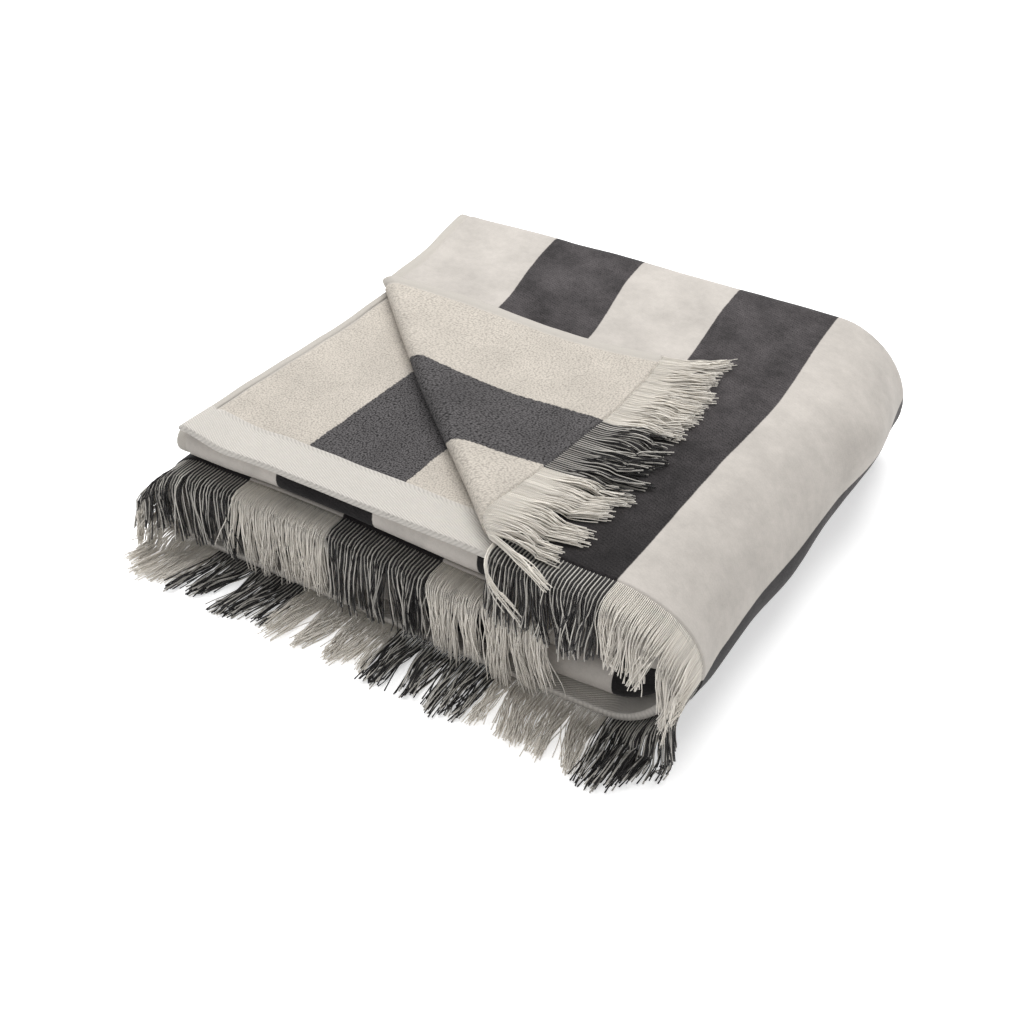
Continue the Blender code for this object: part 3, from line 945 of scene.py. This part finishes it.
@dataclass(frozen=True)
class WovenFinish:
    """A flat woven part of the cloth: the end band or a turned hem."""

    name: str
    colour: Colour
    ribs: float
    rise: float
    threads: float
    depth: float
    # Painted shade in the gaps between the ribs and threads.
    gap_shade: float = 0.80
    gap_height: float = 0.1
    top_height: float = 0.8
    nap: float = 0.10
    wander: float = 0.0004
    striped: float = 0.0
    charcoal: Colour = (0.05, 0.048, 0.05)

    def make(self, stripe: float) -> bpy.types.Material:
        """Makes the material.

        Args:
            stripe: the width of a stripe.

        Returns:
            The material, which reads the place on the flat cloth.
        """
        made, wiring, shader = new_material(self.name, self.colour)
        values = {"ribs": self.ribs, "rise": self.rise, "threads": self.threads}
        high = WEAVE.use(wiring, **values).outputs["Height"]
        shade = NAP.use(wiring, amount=self.nap).outputs["Shade"]
        dark = STRIPES.use(wiring, wander=self.wander, turns=math.pi / stripe).outputs["Dark"]
        mixed = wiring.math("MULTIPLY", dark, self.striped)
        colour = wiring.mix(mixed, self.colour, self.charcoal)
        # Painted shade: darker in the gaps between the ribs and threads.
        deep = wiring.fit(high, self.gap_height, self.top_height, self.gap_shade, 1.0, "LINEAR")
        both = wiring.math("MULTIPLY", shade, deep)
        shaded = wiring.add("VectorMath", {0: colour, 3: both}, operation="SCALE").outputs[0]
        wiring.tree.links.new(shaded, shader.inputs["Base Color"])
        Cotton(0.85, sheen=0.10, relief=0.8).dress(wiring, shader, high, self.depth)
        return made


@dataclass(frozen=True)
class YarnFinish:
    """Loose twisted yarn; each strand has its own tone."""

    name: str
    colour: Colour
    spread: float
    twist: float = 0.0021
    depth: float = 0.00016

    def make(self) -> bpy.types.Material:
        """Makes the material, which reads the place along and round each strand."""
        made, wiring, shader = new_material(self.name, self.colour)
        _vector, (along, around, tone) = wiring.attribute(YARN)
        turns = wiring.math("ADD", wiring.math("DIVIDE", along, self.twist), around)
        ply = wiring.math("SINE", wiring.math("MULTIPLY", turns, 4.0 * math.pi))
        lit = wiring.math("MULTIPLY", ply, PLY_SHADE)
        own = wiring.math("MULTIPLY", wiring.math("SUBTRACT", tone, 0.5), self.spread)
        shade = wiring.math("ADD", wiring.math("ADD", lit, own), YARN_SHADE)
        colour = wiring.add("VectorMath", {0: self.colour, 3: shade}, operation="SCALE")
        wiring.tree.links.new(colour.outputs[0], shader.inputs["Base Color"])
        Cotton(0.75, sheen=0.25, relief=0.6).dress(wiring, shader, ply, self.depth)
        return made


# ---------------------------------------------------------------- the cloth


def link_mesh(name: str, sheet: bmesh.types.BMesh) -> bpy.types.Object:
    """Makes a smooth mesh object of a bmesh and frees it."""
    mesh = bpy.data.meshes.new(name)
    sheet.to_mesh(mesh)
    sheet.free()
    mesh.shade_smooth()
    made = bpy.data.objects.new(name, mesh)
    bpy.context.scene.collection.objects.link(made)
    return made


@dataclass
class Cloth:
    """The one sheet of cloth, with its hems and band, folded."""

    folder: Folder
    run_steps: tuple[float, ...] = (0.0042, 0.016, 0.026, 0.026, 0.026, 0.0042)
    panel_steps: tuple[float, ...] = (0.0045, 0.020, 0.0085)
    turn_step: float = 0.0045
    layer_turn_step: float = 0.0025
    end_step: float = 0.0008
    end_marks: int = 7
    band_step: float = 0.0006
    band_marks: int = 6
    last_mark: float = 0.0012
    near_marks: float = 0.0012
    hem_marks: tuple[float, ...] = (0.0, 0.0010, 0.0030, 0.0050, 0.0058, 0.0066, 0.0074, 0.0084)
    hem_inset: float = 0.0004
    crease_steps: int = 12
    crease_area: float = 0.25
    crease_near: float = 0.008
    crease_join: float = 0.0005
    crease_join_reach: float = 0.016
    crease_split_reach: float = 0.014
    cut_tolerance: float = 1e-4

    def lines_along(self) -> list[float]:
        """Lists the places along the towel where the flat sheet is creased."""
        size = self.folder.plan.size
        band = size.length - size.band_width
        marks = self.folder.length_path.marks(self.run_steps, self.layer_turn_step)
        close = [self.end_step * k for k in range(self.end_marks)]
        marks = [s for s in marks if s > close[-1] + self.near_marks]
        close += [band + self.band_step * k for k in range(self.band_marks)]
        close += [size.length - self.last_mark, size.length]
        return self.merged(marks, close, size.length)

    def lines_across(self) -> list[float]:
        """Lists the places across the towel where the flat sheet is creased."""
        size = self.folder.plan.size
        marks = self.folder.width_path.marks(self.panel_steps, self.turn_step)
        close = [*self.hem_marks, *(size.width - edge for edge in self.hem_marks)]
        return self.merged(marks, close, size.width)

    def merged(self, marks: Iterable[float], close: Sequence[float], end: float) -> list[float]:
        """Joins two lists of places.

        Args:
            marks: places to keep only where they aren't next to one of the others.
            close: places to keep all of.
            end: the last place.

        Returns:
            The places in order, without any beyond the end.
        """
        gap = self.near_marks
        spaced = [mark for mark in marks if mark < end and all(abs(mark - c) > gap for c in close)]
        return sorted({round(value, 7) for value in [*spaced, *close]})

    def lay_flat(self) -> bmesh.types.BMesh:
        """Makes the flat sheet, creased along every line where it will bend."""
        along, across = self.lines_along(), self.lines_across()
        sheet = bmesh.new()
        columns, rows = len(along) - 1, len(across) - 1
        bmesh.ops.create_grid(sheet, x_segments=columns, y_segments=rows, size=0.5)
        for vert in sheet.verts:
            column = round((vert.co.x + 0.5) * columns)
            row = round((vert.co.y + 0.5) * rows)
            vert.co = (along[column], across[row], 0.0)
        self.crease_corner(sheet)
        return sheet

    def crease_corner(self, sheet: bmesh.types.BMesh) -> None:
        """Cuts the flat sheet along the slanting lines where its corner turns over."""
        plan = self.folder.plan
        across = plan.crease_across.to_3d()
        for k in range(-1, self.crease_steps + 2):
            beyond = plan.crease_turn * plan.crease_angle * k / self.crease_steps
            point = Vector((plan.crease_on_hem, 0.0, 0.0)) + across * beyond
            centres = [(face, face.calc_center_median()) for face in sheet.faces]
            near = [
                face for face, centre in centres
                if max(centre.x, centre.y) < self.crease_area
                and abs((centre - point).dot(across)) < self.crease_near
            ]
            edges = {edge for face in near for edge in face.edges}
            verts = {vert for face in near for vert in face.verts}
            bmesh.ops.bisect_plane(
                sheet, geom=[*verts, *edges, *near], plane_co=point, plane_no=across,
                dist=self.cut_tolerance
            )
        middle = Vector((plan.crease_on_hem, 0.0, 0.0)) + across * (plan.crease_turn * math.pi / 2)
        near_crease = [vert for vert in sheet.verts
                       if abs((vert.co - middle).dot(across)) < self.crease_join_reach]
        bmesh.ops.remove_doubles(sheet, verts=near_crease, dist=self.crease_join)
        split = self.crease_split_reach
        slanted = [face for face in sheet.faces
                   if len(face.verts) != 4
                   or abs((face.calc_center_median() - middle).dot(across)) < split]
        bmesh.ops.triangulate(sheet, faces=slanted, quad_method="BEAUTY", ngon_method="BEAUTY")

    def face_of(self, middle: Vector, normal: Vector) -> Face:
        """Says which finish a face of the thick flat sheet has.

        Args:
            middle: the middle of the face.
            normal: the way it looks.

        Returns:
            Its finish.
        """
        size = self.folder.plan.size
        from_hem = min(middle.y, size.width - middle.y)
        if middle.x > size.length - size.band_width:
            return Face.BAND
        if from_hem < size.hem_width - self.hem_inset or middle.x < size.heading_groove:
            return Face.HEM
        return Face.VELOUR if normal.z > 0.0 else Face.TERRY

    def build(self) -> bpy.types.Object:
        """Builds the folded cloth."""
        size = self.folder.plan.size
        sheet = self.lay_flat()
        flat = sheet.verts.layers.float_vector.new(FLAT)
        top = bmesh.ops.extrude_face_region(sheet, geom=list(sheet.faces))["geom"]
        raised = {item for item in top if isinstance(item, bmesh.types.BMVert)}
        for vert in sheet.verts:
            half = size.half_thickness(vert.co.x, vert.co.y)
            vert.co.z = half if vert in raised else -half
            vert[flat] = vert.co
        bmesh.ops.recalc_face_normals(sheet, faces=list(sheet.faces))
        for face in sheet.faces:
            face.material_index = self.face_of(face.calc_center_median(), face.normal).value
        for vert in sheet.verts:
            vert.co = self.folder.place(*vert.co)
        if sheet.calc_volume(signed=True) < 0.0:
            bmesh.ops.reverse_faces(sheet, faces=list(sheet.faces))
        return link_mesh("towel_sheet", sheet)

    def dress(self, cloth: bpy.types.Object) -> None:
        """Gives each face of the cloth its finish."""
        stripe = self.folder.plan.size.stripe
        for finish in (VELOUR, TERRY, BAND, HEM):
            cloth.data.materials.append(finish.make(stripe))


# ---------------------------------------------------------------- the fringe


@dataclass(frozen=True)
class Lie:
    """How the fringe lies at a place across the towel, counted in stripes."""

    stripe: float
    length: float
    fall: float
    lean: float


LIES = (
    Lie(0.0, 0.72, 0.035, -0.85), Lie(0.3, 0.70, 0.035, -0.50), Lie(1.0, 0.70, 0.035, -0.32),
    Lie(1.6, 0.84, 0.035, -0.34), Lie(2.1, 0.88, 0.035, -0.32), Lie(2.6, 0.88, 0.035, -0.24),
    Lie(2.9, 0.88, 0.035, 0.00), Lie(2.95, 0.92, 0.035, 0.10), Lie(2.99, 0.92, 0.030, 1.10),
    Lie(3.05, 0.88, 0.011, 0.14), Lie(3.3, 0.96, 0.010, 0.06), Lie(4.0, 0.96, 0.012, -0.04),
    Lie(4.2, 0.98, 0.018, -0.14), Lie(4.9, 0.88, 0.018, -0.16), Lie(5.2, 0.96, 0.020, 0.04),
    Lie(5.7, 0.96, 0.018, 0.15), Lie(6.3, 0.90, 0.015, 0.22), Lie(8.5, 0.84, 0.015, -0.05),
    Lie(9.6, 0.84, 0.015, -0.20), Lie(10.3, 0.86, 0.020, -0.26), Lie(11.0, 0.86, 0.024, -0.14),
    Lie(11.6, 0.94, 0.012, -0.02), Lie(13.0, 1.04, 0.011, 0.04), Lie(15.0, 1.04, 0.011, 0.08),
)


def lie_at(stripe: float) -> Lie:
    """Finds how the fringe lies at a place, between the two nearest rows of the table."""
    after = next((k for k, row in enumerate(LIES) if row.stripe >= stripe), len(LIES) - 1)
    low, high = LIES[max(after, 1) - 1], LIES[max(after, 1)]
    share = (stripe - low.stripe) / (high.stripe - low.stripe)
    parts = ((a + share * (b - a)) for a, b in zip(
        (low.length, low.fall, low.lean), (high.length, high.fall, high.lean)))
    return Lie(stripe, *parts)


@dataclass(frozen=True)
class YarnKind:
    """The yarns of one sort of stripe."""

    columns: int
    layers: int
    depth: float
    radius: float
    alternate: bool


# The side of a hanging yarn that looks outward, and a direction that no yarn runs in.
OUTER_SIDE = Vector((0.0, -0.35, 1.0))
STRAND_REFERENCE = (0.31, 0.22, 0.93)

CREAM_YARNS = YarnKind(columns=88, layers=3, depth=0.0022, radius=0.00029, alternate=False)
DARK_YARNS = YarnKind(columns=60, layers=3, depth=0.0022, radius=0.00038, alternate=True)


@dataclass(frozen=True)
class YarnLay:
    """How unevenly the yarns lie: the spans that chance draws from, and lengths in metres."""

    clump_counts: tuple[int, int] = (7, 10)
    clump_widths: Span = (0.5, 1.5)
    clump_leans: Span = (-0.20, 0.20)
    clump_lengths: Span = (0.88, 1.06)
    clump_squeezes: Span = (0.08, 0.52)
    clump_lifts: Span = (-0.4, 0.6)
    clump_swing: float = 0.08
    swing_length: float = 0.008
    swing_start: float = 0.02
    lean_share: float = 0.7
    fall_start: float = 0.25
    lift: float = 0.25
    lift_reach: float = 0.03
    clear: float = 0.0012
    over_crease: float = 2.2
    probe: float = 0.003
    side_probe: float = 0.001
    beside_crease: float = 0.002
    uneven_root: Span = (-0.0001, 0.0001)
    stray_share: float = 0.05
    squeezes: Span = (0.55, 1.15)
    stray_squeeze: float = 0.2
    squeeze_rate: float = 1.15
    wave_lengths: Span = (0.005, 0.012)
    wave_sizes: Span = (0.2, 1.0)
    wave_side: float = 0.0011
    wave_up: float = 0.0009
    wave_rate: float = 1.6
    wave_up_rate: float = 2.0
    drifts: Span = (-0.0030, 0.0030)
    stray_drift: float = 3.4
    puffs: Span = (0.0, 0.0018)
    stray_puff: float = 2.6
    reaches: Span = (0.84, 1.05)
    loosening: float = 0.6
    neck: float = 0.94
    frayed: float = 1.15


@dataclass
class Clump:
    """A group of yarns that lie together: its place, and how it differs from the fringe there."""

    start: float
    end: float
    lean: float
    length: float
    squeeze: float
    lift: float
    phase: float

    @property
    def middle(self) -> float:
        """The middle of the clump, across the towel."""
        return (self.start + self.end) / 2


@dataclass
class Fringe:
    """The loose yarns of one stripe, and the tight rows of yarn they leave the cloth in."""

    folder: Folder
    number: int
    kind: YarnKind
    full_length: float = 0.052
    heading: float = 0.0045
    root_depth: float = 0.0028
    heading_points: int = 3
    free_points: int = 12
    sides: int = 4
    lay: YarnLay = field(default_factory=YarnLay)
    chance: random.Random = field(init=False)

    def __post_init__(self) -> None:
        """Seeds the fringe by its number."""
        self.chance = random.Random(self.number)

    @property
    def points(self) -> int:
        """How many points each strand goes through."""
        return self.heading_points + self.free_points

    def sides_at(self) -> tuple[float, float]:
        """Gives the places across the towel between which the fringe grows, hems taken in."""
        size = self.folder.plan.size
        start = size.line(self.number - 1) if self.number > 1 else 0.0
        end = size.line(self.number) if self.number < size.stripe_count else size.width
        return start, end

    def clumps(self) -> list[Clump]:
        """Shares the stripe out into clumps of uneven width."""
        start, end = self.sides_at()
        lay, draw = self.lay, self.chance.uniform
        count = self.chance.randint(*lay.clump_counts)
        widths = [draw(*lay.clump_widths) for _ in range(count)]
        shares = [sum(widths[:k]) / sum(widths) for k in range(len(widths) + 1)]
        edges = [start + (end - start) * share for share in shares]
        return [
            Clump(a, b, draw(*lay.clump_leans), draw(*lay.clump_lengths),
                  draw(*lay.clump_squeezes), draw(*lay.clump_lifts), draw(0.0, math.tau))
            for a, b in zip(edges, edges[1:])
        ]

    def strand_template(self) -> tuple[bpy.types.Mesh, np.ndarray, np.ndarray]:
        """Makes one straight strand to copy.

        Returns:
            Its mesh, and for each of its points the ring it is on and its angle round the strand.
        """
        strand = bmesh.new()
        bmesh.ops.create_cone(strand, cap_ends=True, cap_tris=False, segments=self.sides,
                              radius1=1.0, radius2=1.0, depth=1.0)
        steps = self.points - 1
        for k in range(1, steps):
            everything = [*strand.verts, *strand.edges, *strand.faces]
            bmesh.ops.bisect_plane(strand, geom=everything, plane_no=(0, 0, 1),
                                   plane_co=(0, 0, k / steps - 0.5), dist=1e-6)
        ring = np.array([round((vert.co.z + 0.5) * steps) for vert in strand.verts])
        angle = np.array([math.atan2(vert.co.y, vert.co.x) for vert in strand.verts])
        mesh = bpy.data.meshes.new("strand")
        strand.to_mesh(mesh)
        strand.free()
        return mesh, ring, angle

    def on_flap(self, t: float) -> bool:
        """Says whether yarn at a place lies on top of the pack, on the turned-back corner."""
        return t < self.folder.plan.crease_on_end

    def clump_line(self, clump: Clump, t: float) -> list[Vector]:
        """Lays out the middle line of the free part of a clump.

        Args:
            clump: the clump.
            t: the place across the towel that sets how it lies.

        Returns:
            Its points, from the end of the heading outward.
        """
        size, lay = self.folder.plan.size, self.lay
        lie = lie_at((t - size.hem_width) / size.stripe)
        on_top = self.on_flap(t)
        root = self.folder.place(-self.heading, t, 0.0)
        outward = (root - self.folder.place(lay.probe - self.heading, t, 0.0)).normalized()
        over_crease = Vector((lay.over_crease, 0.0, 0.0)) if on_top else Vector()
        level = (Vector((outward.x, outward.y, 0.0)) + over_crease).normalized()
        side = Vector((0.0, -1.0, 0.0)) if on_top else Vector((1.0, 0.0, 0.0))
        step = self.full_length * lie.length * clump.length / self.free_points
        points = [root]
        for k in range(self.free_points):
            gone = (k + 0.5) * step
            falling = smooth(gone / lie.fall - lay.fall_start)
            lean = (lie.lean + clump.lean) * smooth((k + 1) / (lay.lean_share * self.free_points))
            swing = math.sin(clump.phase + gone / lay.swing_length)
            lean += lay.clump_swing * swing * smooth(gone / lay.swing_start)
            heading = (level + side * lean).normalized() * (1.0 - falling)
            heading += (Vector((0.0, 0.0, -1.0)) + side * lean) * falling
            if on_top:
                heading.z += lay.lift * clump.lift * (1.0 - smooth(gone / lay.lift_reach))
            place = points[-1] + heading.normalized() * step
            lowest = self.floor_under(place, on_top) + lay.clear
            if place.z < lowest:
                drop = min(step, max(0.0, points[-1].z - lowest))
                flat = (level + side * lean).normalized()
                place = points[-1] + flat * math.sqrt(step * step - drop * drop)
                place.z = max(lowest, points[-1].z - drop)
            points.append(place)
        return points

    def floor_under(self, place: Vector, on_top: bool) -> float:
        """Gives the height of what yarn at a place lies on."""
        return self.folder.top_at(place.x, place.y) if on_top else 0.0

    def strand_line(self, clump: Clump, line: list[Vector], t: float, lift: float) -> list[Vector]:
        """Lays out one strand of a clump.

        Args:
            clump: the clump.
            line: the clump's middle line.
            t: the strand's own place across the towel.
            lift: its height in the heading.

        Returns:
            The strand's points, from the cloth to its tip.
        """
        draw, lay = self.chance.uniform, self.lay
        folder, on_top = self.folder, self.on_flap(t)
        covered = self.heading + self.root_depth
        steps = [covered * k / self.heading_points for k in range(self.heading_points)]
        points = [folder.place(self.root_depth - distance, t, lift) for distance in steps]
        offset = folder.place(-self.heading, t, lift) - line[0]
        across = (folder.place(-self.heading, t + lay.side_probe, 0.0)
                  - folder.place(-self.heading, t - lay.side_probe, 0.0)).normalized()
        sideways = offset.dot(across)
        first_over = across.cross(line[1] - line[0]).normalized()
        if first_over.z < 0.0:
            first_over.negate()
        rise = (offset - across * sideways).dot(first_over)
        stray = draw(0.0, 1.0) < lay.stray_share
        squeeze = clump.squeeze * draw(*lay.squeezes) * (lay.stray_squeeze if stray else 1.0)
        waves = [(draw(0.0, math.tau), draw(*lay.wave_lengths), draw(*lay.wave_sizes))
                 for _ in range(2)]
        drift = draw(*lay.drifts) * (lay.stray_drift if stray else 1.0)
        puff = draw(*lay.puffs) * (lay.stray_puff if stray else 1.0)
        reach = draw(*lay.reaches)
        for k in range(self.free_points):
            share = k / (self.free_points - 1)
            at = share * reach * self.free_points
            low = min(int(at), self.free_points - 1)
            middle = line[low].lerp(line[low + 1], at - low)
            over = across.cross((line[low + 1] - line[low]).normalized()).normalized()
            if over.dot(OUTER_SIDE) < 0.0:
                over.negate()
            gone = share * self.full_length
            sway = [size * math.sin(phase + gone / length) for phase, length, size in waves]
            loose = smooth(share * lay.wave_rate)
            spread = sideways * (1.0 - squeeze * smooth(share * lay.squeeze_rate))
            spread += (lay.wave_side * sway[0] + drift * share) * loose
            lofted = rise * (1.0 + lay.loosening * share) + puff * loose
            lofted += lay.wave_up * sway[1] * smooth(share * lay.wave_up_rate)
            place = middle + across * spread + over * lofted
            lowest = self.floor_under(place, on_top) + self.kind.radius
            place.z = max(place.z, lowest)
            points.append(place)
        return points

    def strands(self) -> list[tuple[list[Vector], int]]:
        """Lists each strand's points with the number of its material."""
        start, end = self.sides_at()
        pitch = (end - start) / self.kind.columns
        clumps = self.clumps()
        made = []
        for clump in clumps:
            clump_on_top = self.on_flap(clump.middle)
            lines: dict[bool, list[Vector]] = {}
            for k in range(self.kind.columns * self.kind.layers):
                column, layer = k // self.kind.layers, k % self.kind.layers
                t = start + (column + (layer + 0.5) / self.kind.layers) * pitch
                if not clump.start <= t < clump.end:
                    continue
                on_top = self.on_flap(t)
                if on_top not in lines:
                    edge = self.folder.plan.crease_on_end
                    place = clump.middle
                    if on_top != clump_on_top:
                        place = edge + self.lay.beside_crease * (-1.0 if on_top else 1.0)
                    lines[on_top] = self.clump_line(clump, place)
                lift = self.kind.depth * (0.5 - layer / (self.kind.layers - 1))
                lift += self.chance.uniform(*self.lay.uneven_root)
                shade = 1 if self.kind.alternate and (layer == 1 or column % 2) else 0
                made.append((self.strand_line(clump, lines[on_top], t, lift), shade))
        return made

    def build(self) -> bpy.types.Object:
        """Builds the yarns of the stripe as one mesh."""
        template, ring, angle = self.strand_template()
        strands = self.strands()
        yarns = bmesh.new()
        for _line, _shade in strands:
            yarns.from_mesh(template)
        places, facts, shades = [], [], []
        radii = self.radii()
        for line, shade in strands:
            line_at = np.array([tuple(point) for point in line])
            ahead = np.gradient(line_at, axis=0)
            ahead /= np.linalg.norm(ahead, axis=1, keepdims=True)
            across = np.cross(ahead, STRAND_REFERENCE)
            across /= np.linalg.norm(across, axis=1, keepdims=True)
            over = np.cross(ahead, across)
            turn = angle + self.chance.uniform(0.0, math.tau)
            out = across[ring] * np.cos(turn)[:, None] + over[ring] * np.sin(turn)[:, None]
            places.append(line_at[ring] + out * radii[ring][:, None])
            steps = np.linalg.norm(np.diff(line_at, axis=0), axis=1)
            gone = np.concatenate([[0.0], np.cumsum(steps)])[ring]
            tone = np.full(len(ring), self.chance.random())
            facts.append(np.stack([gone, angle / math.tau, tone], axis=1))
            shades.append(shade)
        for vert, place in zip(yarns.verts, np.concatenate(places)):
            vert.co = place
        faces = len(template.polygons)
        for k, face in enumerate(yarns.faces):
            face.material_index = shades[k // faces]
        made = link_mesh(f"yarns_{self.number:02d}", yarns)
        fact = made.data.attributes.new(YARN, "FLOAT_VECTOR", "POINT")
        fact.data.foreach_set("vector", np.concatenate(facts).astype(np.float32).ravel())
        bpy.data.meshes.remove(template)
        return made

    def radii(self) -> np.ndarray:
        """Gives the strand's radius at each of its points: even, with a frayed tip."""
        radius = np.full(self.points, self.kind.radius)
        radius[-2] *= self.lay.neck
        radius[-1] *= self.lay.frayed
        return radius

    def dress(self, yarns: bpy.types.Object, finishes: dict[str, bpy.types.Material]) -> None:
        """Gives the yarns their colours: all cream, or pale and charcoal by turns."""
        names = ("pale", "charcoal") if self.kind.alternate else ("cream",)
        for name in names:
            yarns.data.materials.append(finishes[name])


# ---------------------------------------------------------------- the studio


@dataclass(frozen=True)
class Lamp:
    """One soft panel of light."""

    name: str
    place: tuple[float, float, float]
    size: tuple[float, float]
    power: float


@dataclass(frozen=True)
class Studio:
    """The floor, the soft light and the camera."""

    floor_size: float = 9.0
    floor_colour: Colour = (0.93, 0.93, 0.93)
    ambient: float = 0.42
    floor_glow: float = 0.40
    floor_roughness: float = 0.08
    aim_height: float = 0.04
    sensor: float = 36.0
    nearest: float = 0.01
    lamps: tuple[Lamp, ...] = (
        Lamp("overhead", (-0.25, 0.55, 1.45), (1.5, 1.2), 29.0),
        Lamp("left", (-1.5, -0.1, 0.9), (0.9, 0.9), 5.0),
        Lamp("front", (0.35, -1.5, 0.55), (1.4, 0.8), 5.0),
        Lamp("right", (1.4, 0.5, 0.75), (0.9, 0.9), 5.0),
    )
    camera_place: tuple[float, float, float] = (0.37374, -0.62331, 0.56103)
    azimuth: float = 31.656
    elevation: float = 37.766
    lens: float = 52.03

    def build(self) -> None:
        """Builds the studio."""
        self.build_floor()
        for lamp in self.lamps:
            self.build_lamp(lamp)
        self.build_world()
        self.build_camera()

    def build_floor(self) -> None:
        """Lays the plain pale floor."""
        plane = bmesh.new()
        bmesh.ops.create_grid(plane, x_segments=1, y_segments=1, size=self.floor_size / 2)
        floor = link_mesh("floor", plane)
        made, _wiring, shader = new_material("pale floor", self.floor_colour)
        shader.inputs["Base Color"].default_value = (*self.floor_colour, 1.0)
        shader.inputs["Roughness"].default_value = self.floor_roughness
        shader.inputs["Emission Color"].default_value = (1.0, 1.0, 1.0, 1.0)
        shader.inputs["Emission Strength"].default_value = self.floor_glow
        floor.data.materials.append(made)

    def build_lamp(self, lamp: Lamp) -> None:
        """Hangs one soft panel of light, aimed at the towel."""
        light = bpy.data.lights.new(lamp.name, "AREA")
        light.shape = "RECTANGLE"
        light.size, light.size_y = lamp.size
        light.energy = lamp.power
        made = bpy.data.objects.new(lamp.name, light)
        made.location = lamp.place
        aim = Vector((0.0, 0.0, self.aim_height)) - Vector(lamp.place)
        made.rotation_euler = aim.to_track_quat("-Z", "Y").to_euler()
        bpy.context.scene.collection.objects.link(made)

    def build_world(self) -> None:
        """Surrounds the towel with even white light."""
        world = bpy.data.worlds.new("studio")
        world.use_nodes = True
        bpy.context.scene.world = world
        wiring = Wiring(world.node_tree)
        seen = wiring.add("LightPath").outputs["Is Camera Ray"]
        strength = wiring.fit(seen, 0.0, 1.0, self.ambient, 1.0, "LINEAR")
        background = world.node_tree.nodes["Background"]
        background.inputs["Color"].default_value = (1.0, 1.0, 1.0, 1.0)
        wiring.tree.links.new(strength, background.inputs["Strength"])

    def build_camera(self) -> None:
        """Sets the camera at the angle of the photograph."""
        camera = bpy.data.cameras.new("camera")
        camera.lens = self.lens
        camera.sensor_width = self.sensor
        camera.clip_start = self.nearest
        made = bpy.data.objects.new("camera", camera)
        turn, rise = math.radians(self.azimuth), math.radians(self.elevation)
        level = math.cos(rise)
        back = Vector((math.sin(turn) * level, -math.cos(turn) * level, math.sin(rise)))
        made.location = self.camera_place
        made.rotation_euler = (-back).to_track_quat("-Z", "Y").to_euler()
        bpy.context.scene.collection.objects.link(made)
        bpy.context.scene.camera = made


# ---------------------------------------------------------------- finishes

VELOUR = PileFinish("velour", cream=(0.448, 0.418, 0.386), charcoal=(0.048, 0.043, 0.044),
                    loops_along=1300.0, loops_across=1350.0, depth=0.00004, ridge=0.08,
                    shade_low=0.93, charcoal_gap_shade=0.40, charcoal_top_light=1.40, painted_front_shade=0.36, nap=0.7,
                    dark_nap=2.8, wander=0.0005, sheen=0.10)
TERRY = PileFinish("terry", cream=(0.540, 0.495, 0.438), charcoal=(0.069, 0.065, 0.066),
                   loops_along=860.0, loops_across=960.0, depth=0.00045, ridge=0.02,
                   shade_low=0.58, charcoal_gap_shade=0.05, charcoal_top_light=1.65, painted_front_shade=1.0, nap=0.5,
                   dark_nap=1.0, wander=0.0022, sheen=0.05, painted_fold_shade=1.0)
BAND = WovenFinish("twill band", colour=(0.58, 0.55, 0.51), ribs=1050.0, rise=-2.0,
                   threads=4200.0, depth=0.0006)
HEM = WovenFinish("turned hem", colour=(0.48, 0.45, 0.41), ribs=3600.0, rise=-0.6,
                  threads=4600.0, depth=0.00025, striped=0.9)
YARN_FINISHES = {
    "cream": YarnFinish("cream yarn", (0.88, 0.83, 0.75), spread=0.20),
    "pale": YarnFinish("pale yarn", (0.54, 0.515, 0.472), spread=0.55),
    "charcoal": YarnFinish("charcoal yarn", (0.018, 0.016, 0.016), spread=0.60),
}


def declare(piece: bpy.types.Object, node: str) -> None:
    """Declares a piece to the frame.

    Args:
        piece: the piece.
        node: the solid that it stands for.
    """
    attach(piece, "root")
    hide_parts(node)
    LOG.info("%s: %d faces", piece.name, len(piece.data.polygons))


def main() -> None:
    """Builds the towel and the studio, and declares each piece."""
    logging.basicConfig(level=logging.INFO, format="%(name)s: %(message)s")
    bpy.context.scene.view_settings.view_transform = "Standard"
    plan = FoldPlan()
    folder = Folder(plan)
    cloth = Cloth(folder)
    sheet = cloth.build()
    cloth.dress(sheet)
    declare(sheet, "towel_cloth")
    finishes = {name: finish.make() for name, finish in YARN_FINISHES.items()}
    for number in range(1, plan.size.stripe_count + 1):
        dark = number % 2 == 0
        piece = Fringe(folder, number, DARK_YARNS if dark else CREAM_YARNS)
        yarns = piece.build()
        piece.dress(yarns, finishes)
        declare(yarns, f"fringe_{number:02d}")
    Studio().build()


if __name__ == "__main__":
    main()
